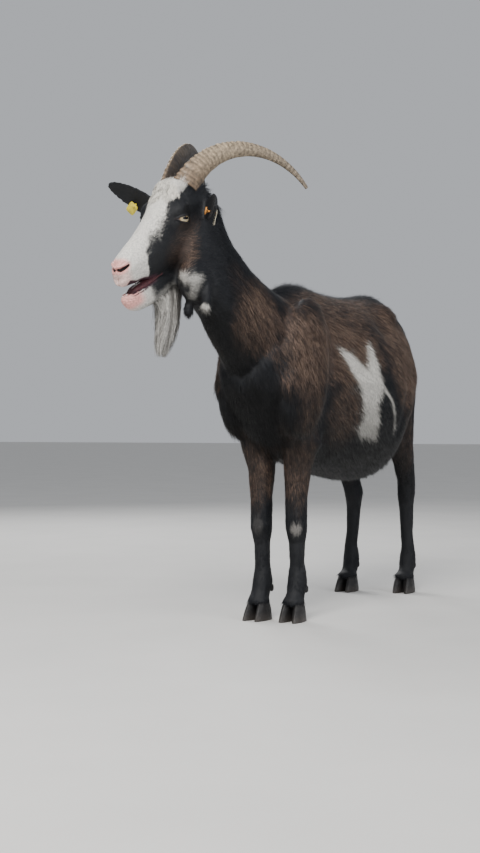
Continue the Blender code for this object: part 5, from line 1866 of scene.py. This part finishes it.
def slab(middle, axes, half_wide, half_high, half_thick, power, rounding):
    """Flat plate with rounded corners and edges; a power of 2 makes it round."""
    angle = round_angles(SLAB_CORNERS)
    c, s = np.cos(angle), np.sin(angle)
    x, y = np.sign(c) * np.abs(c) ** (2 / power), np.sign(s) * np.abs(s) ** (2 / power)
    rings = []
    for z, inset in SLAB_EDGE:
        flat = np.stack((x * (half_wide - rounding * inset), y * (half_high - rounding * inset),
                         np.full(SLAB_CORNERS, z * half_thick)), 1)
        rings.append(middle + flat @ axes)
    return tube(rings)


def tag_piece(side, sign, flap_stuff, button_stuff):
    """Plain plastic tag: a flap and a button on either face of the ear, and a pin through it."""
    root, axes = ear_axes(side, sign)
    pin = root + np.array((EAR_LENGTH * TAG_AT[side], TAG_LOW[side], 0)) @ axes
    lean = np.array(Matrix.Rotation(math.radians(TAG_LEAN[side]), 3, "Z"))
    axes = lean.T @ axes
    at_button, at_flap = TAG_SPAN[side]
    facing = math.copysign(1, at_flap - at_button)
    wide, high, thick = TAG_FLAP

    def disc(out, radius, half, rounding):
        """A round part on the pin, this far out from the ear."""
        return slab(pin + np.array((0, 0, out)) @ axes, axes, radius, radius, half, 2.0, rounding)

    flap = slab(pin + np.array((0, -high * 0.60, at_flap)) @ axes, axes, wide, high, thick, 5.0, 0.0004)
    stud = disc(at_flap + facing * thick, *TAG_STUD, 0.0006)
    button = disc(at_button, *TAG_BUTTON, 0.0005)
    hub = disc(at_button + facing * 0.0015, *TAG_HUB, 0.0006)
    rod = disc((at_button + at_flap) / 2, TAG_ROD, abs(at_flap - at_button) / 2, 0.0001)
    leaf = solid_from("tag_leaf_" + side, [flap, stud], flap_stuff)
    finished(leaf, "tag")
    stem = solid_from("tag_button_" + side, [button, hub, rod], button_stuff)
    return finished(stem, "tag", "ear_tag_" + side)


def tag_material(name, colour):
    """Moulded plastic, scuffed and a little dirty."""
    material, shader = new_material(name, 0.42, 0.45)
    dirt = ranged(material, noise_of(material, 120, 5.0, 0.7), 0.55, 1.10, 0.35, 0.6)
    coloured(material, shader, blend(material, dirt, TAG_DIRT, (*colour, 1)),
             ranged(material, noise_of(material, 300), 0.34, 0.58))
    bump(material, shader, noise_of(material, 500, 3.0), 0.0003, 0.5)
    return material


# ---------------------------------------------------------------- the goat
def build_goat():
    """Every piece of the goat."""
    hair = hair_material("hair", 0.50)
    skin, points, normals, weights, pits = built_skin()
    skin.data.materials.clear()
    skin.data.materials.append(skin_material())
    paint_skin(skin, points, normals, weights, pits)
    finished(skin, "hide", *FLESH)
    bare = bald(points, normals, weights, pits)
    grow_coat(skin, points, normals, weights, bare, hair)
    faces = triangles_of(skin.data)
    face, jaw = weight_of(weights, "head"), weight_of(weights, "lower_jaw")
    beard_piece(points, normals, faces, jaw, hair_material("beard_hair", 0.55))
    forelock_piece(points, normals, faces, face, bare, hair)
    horn_stuff, hoof_stuff, eye_stuff = horn_material(), hoof_material(), eye_material()
    yellow, orange, highlight_cream = (tag_material("tag_" + name, colour) for name, colour in TAG_COLOURS)
    for side, sign in SIDES:
        horn_points, horn_faces, stores = horn_tube(side, sign)
        horn = solid_from("horn_sheath_" + side, [(horn_points, horn_faces)], horn_stuff)
        for name, values in stores.items():
            attribute(horn.data, name, "FLOAT", "value", values)
        finished(horn, "horn", "horn_" + side)
        eye_piece(side, sign, eye_stuff)
        # the left flap is painted pale cream as a highlight
        tag_piece(side, sign, *((highlight_cream, orange) if sign > 0 else (yellow, yellow)))
        for foot in ("fore", "hind"):
            for half in (1, -1):
                kind = "outer" if half == sign else "inner"
                stem = f"{foot}_{side}_{kind}"
                claw = solid_from("claw_" + stem, [claw_tube(foot, side, half)], hoof_stuff)
                finished(claw, "hoof", "hoof_" + stem)
                nub = solid_from("nub_" + stem, [dewclaw_tube(foot, side, half)], hoof_stuff)
                finished(nub, "hoof", "dewclaw_" + stem)
    finished(solid_from("tongue_flesh", [tongue_tube()], tongue_material()), "tongue", "tongue")


# ---------------------------------------------------------------- studio
FLOOR_COLOUR = (0.62, 0.61, 0.59, 1)
FLOOR_REACH = 40.0              # metres from its middle to each side


def pale_floor():
    """Plain pale floor that the goat stands on."""
    material, shader = new_material("floor", 0.8, 0.2)
    tone = ranged(material, noise_of(material, 3.0, 4.0), 0.97, 1.03)
    base = add(material, "ShaderNodeRGB")
    base.outputs[0].default_value = FLOOR_COLOUR
    coloured(material, shader, scaled_colour(material, base.outputs[0], tone))
    bump(material, shader, noise_of(material, 120, 3.0), 0.0005, 0.3)
    corners = np.array(((-1, -1, 0), (1, -1, 0), (1, 1, 0), (-1, 1, 0))) * FLOOR_REACH
    floor = mesh_from("floor", corners, np.array(((0, 1, 2, 3),)), material, False)


LAMPS = (                       # name, place, size, watts, colour
    ("key", (0.6, -2.8, 3.0), 1.5, 165, (1.0, 0.98, 0.95)),
    ("fill", (3.2, -0.6, 1.6), 2.2, 45, (0.95, 0.97, 1.0)),
    ("rim", (-2.4, 2.2, 2.6), 1.6, 90, (1, 1, 1)),
)
LAMP_TARGET = (0, 0, 0.55)
SKY_COLOUR = (0.86, 0.89, 0.94, 1)
SKY_STRENGTH = 0.56
CAMERA_TURN = 28.0              # degrees that the view is turned from straight along +Y
CAMERA_ASIDE = 0.0895
CAMERA_AWAY = 3.1
CAMERA_HIGH = 0.457
CAMERA_LENS = 54.1055           # millimetres, on a sensor SENSOR_HIGH millimetres high
SENSOR_HIGH = 36.0
HORIZON_UNDER = 0.0052755       # how far the horizon is under the middle, in picture heights


def lamp(name, place, size, power, colour):
    """Soft square lamp aimed at the goat."""
    light = bpy.data.lights.new(name, "AREA")
    light.energy = power
    light.size = size
    light.color = colour
    thing = bpy.data.objects.new(name, light)
    bpy.context.scene.collection.objects.link(thing)
    thing.location = place
    thing.rotation_euler = (Vector(LAMP_TARGET) - Vector(place)).to_track_quat("-Z", "Y").to_euler()


def photo_camera():
    """The camera where the photo was taken from."""
    view = bpy.data.cameras.new("camera")
    camera = bpy.data.objects.new("camera", view)
    bpy.context.scene.collection.objects.link(camera)
    turn = math.radians(CAMERA_TURN)
    right = np.array((math.cos(turn), math.sin(turn), 0))
    ahead = np.array((-math.sin(turn), math.cos(turn), 0))
    camera.location = ANCHOR - right * CAMERA_ASIDE - ahead * CAMERA_AWAY + (0, 0, CAMERA_HIGH)
    camera.rotation_euler = (math.radians(90), 0, turn)
    view.sensor_fit = "VERTICAL"
    view.sensor_height = SENSOR_HIGH
    view.lens = CAMERA_LENS
    view.shift_y = HORIZON_UNDER
    bpy.context.scene.camera = camera


def studio():
    """Floor, soft light and the camera at the photo's angle."""
    pale_floor()
    for settings in LAMPS:
        lamp(*settings)
    world = bpy.data.worlds.new("studio")
    bpy.context.scene.world = world
    world.use_nodes = True
    sky = world.node_tree.nodes["Background"]
    sky.inputs["Color"].default_value = SKY_COLOUR
    sky.inputs["Strength"].default_value = SKY_STRENGTH
    photo_camera()


build_goat()
studio()
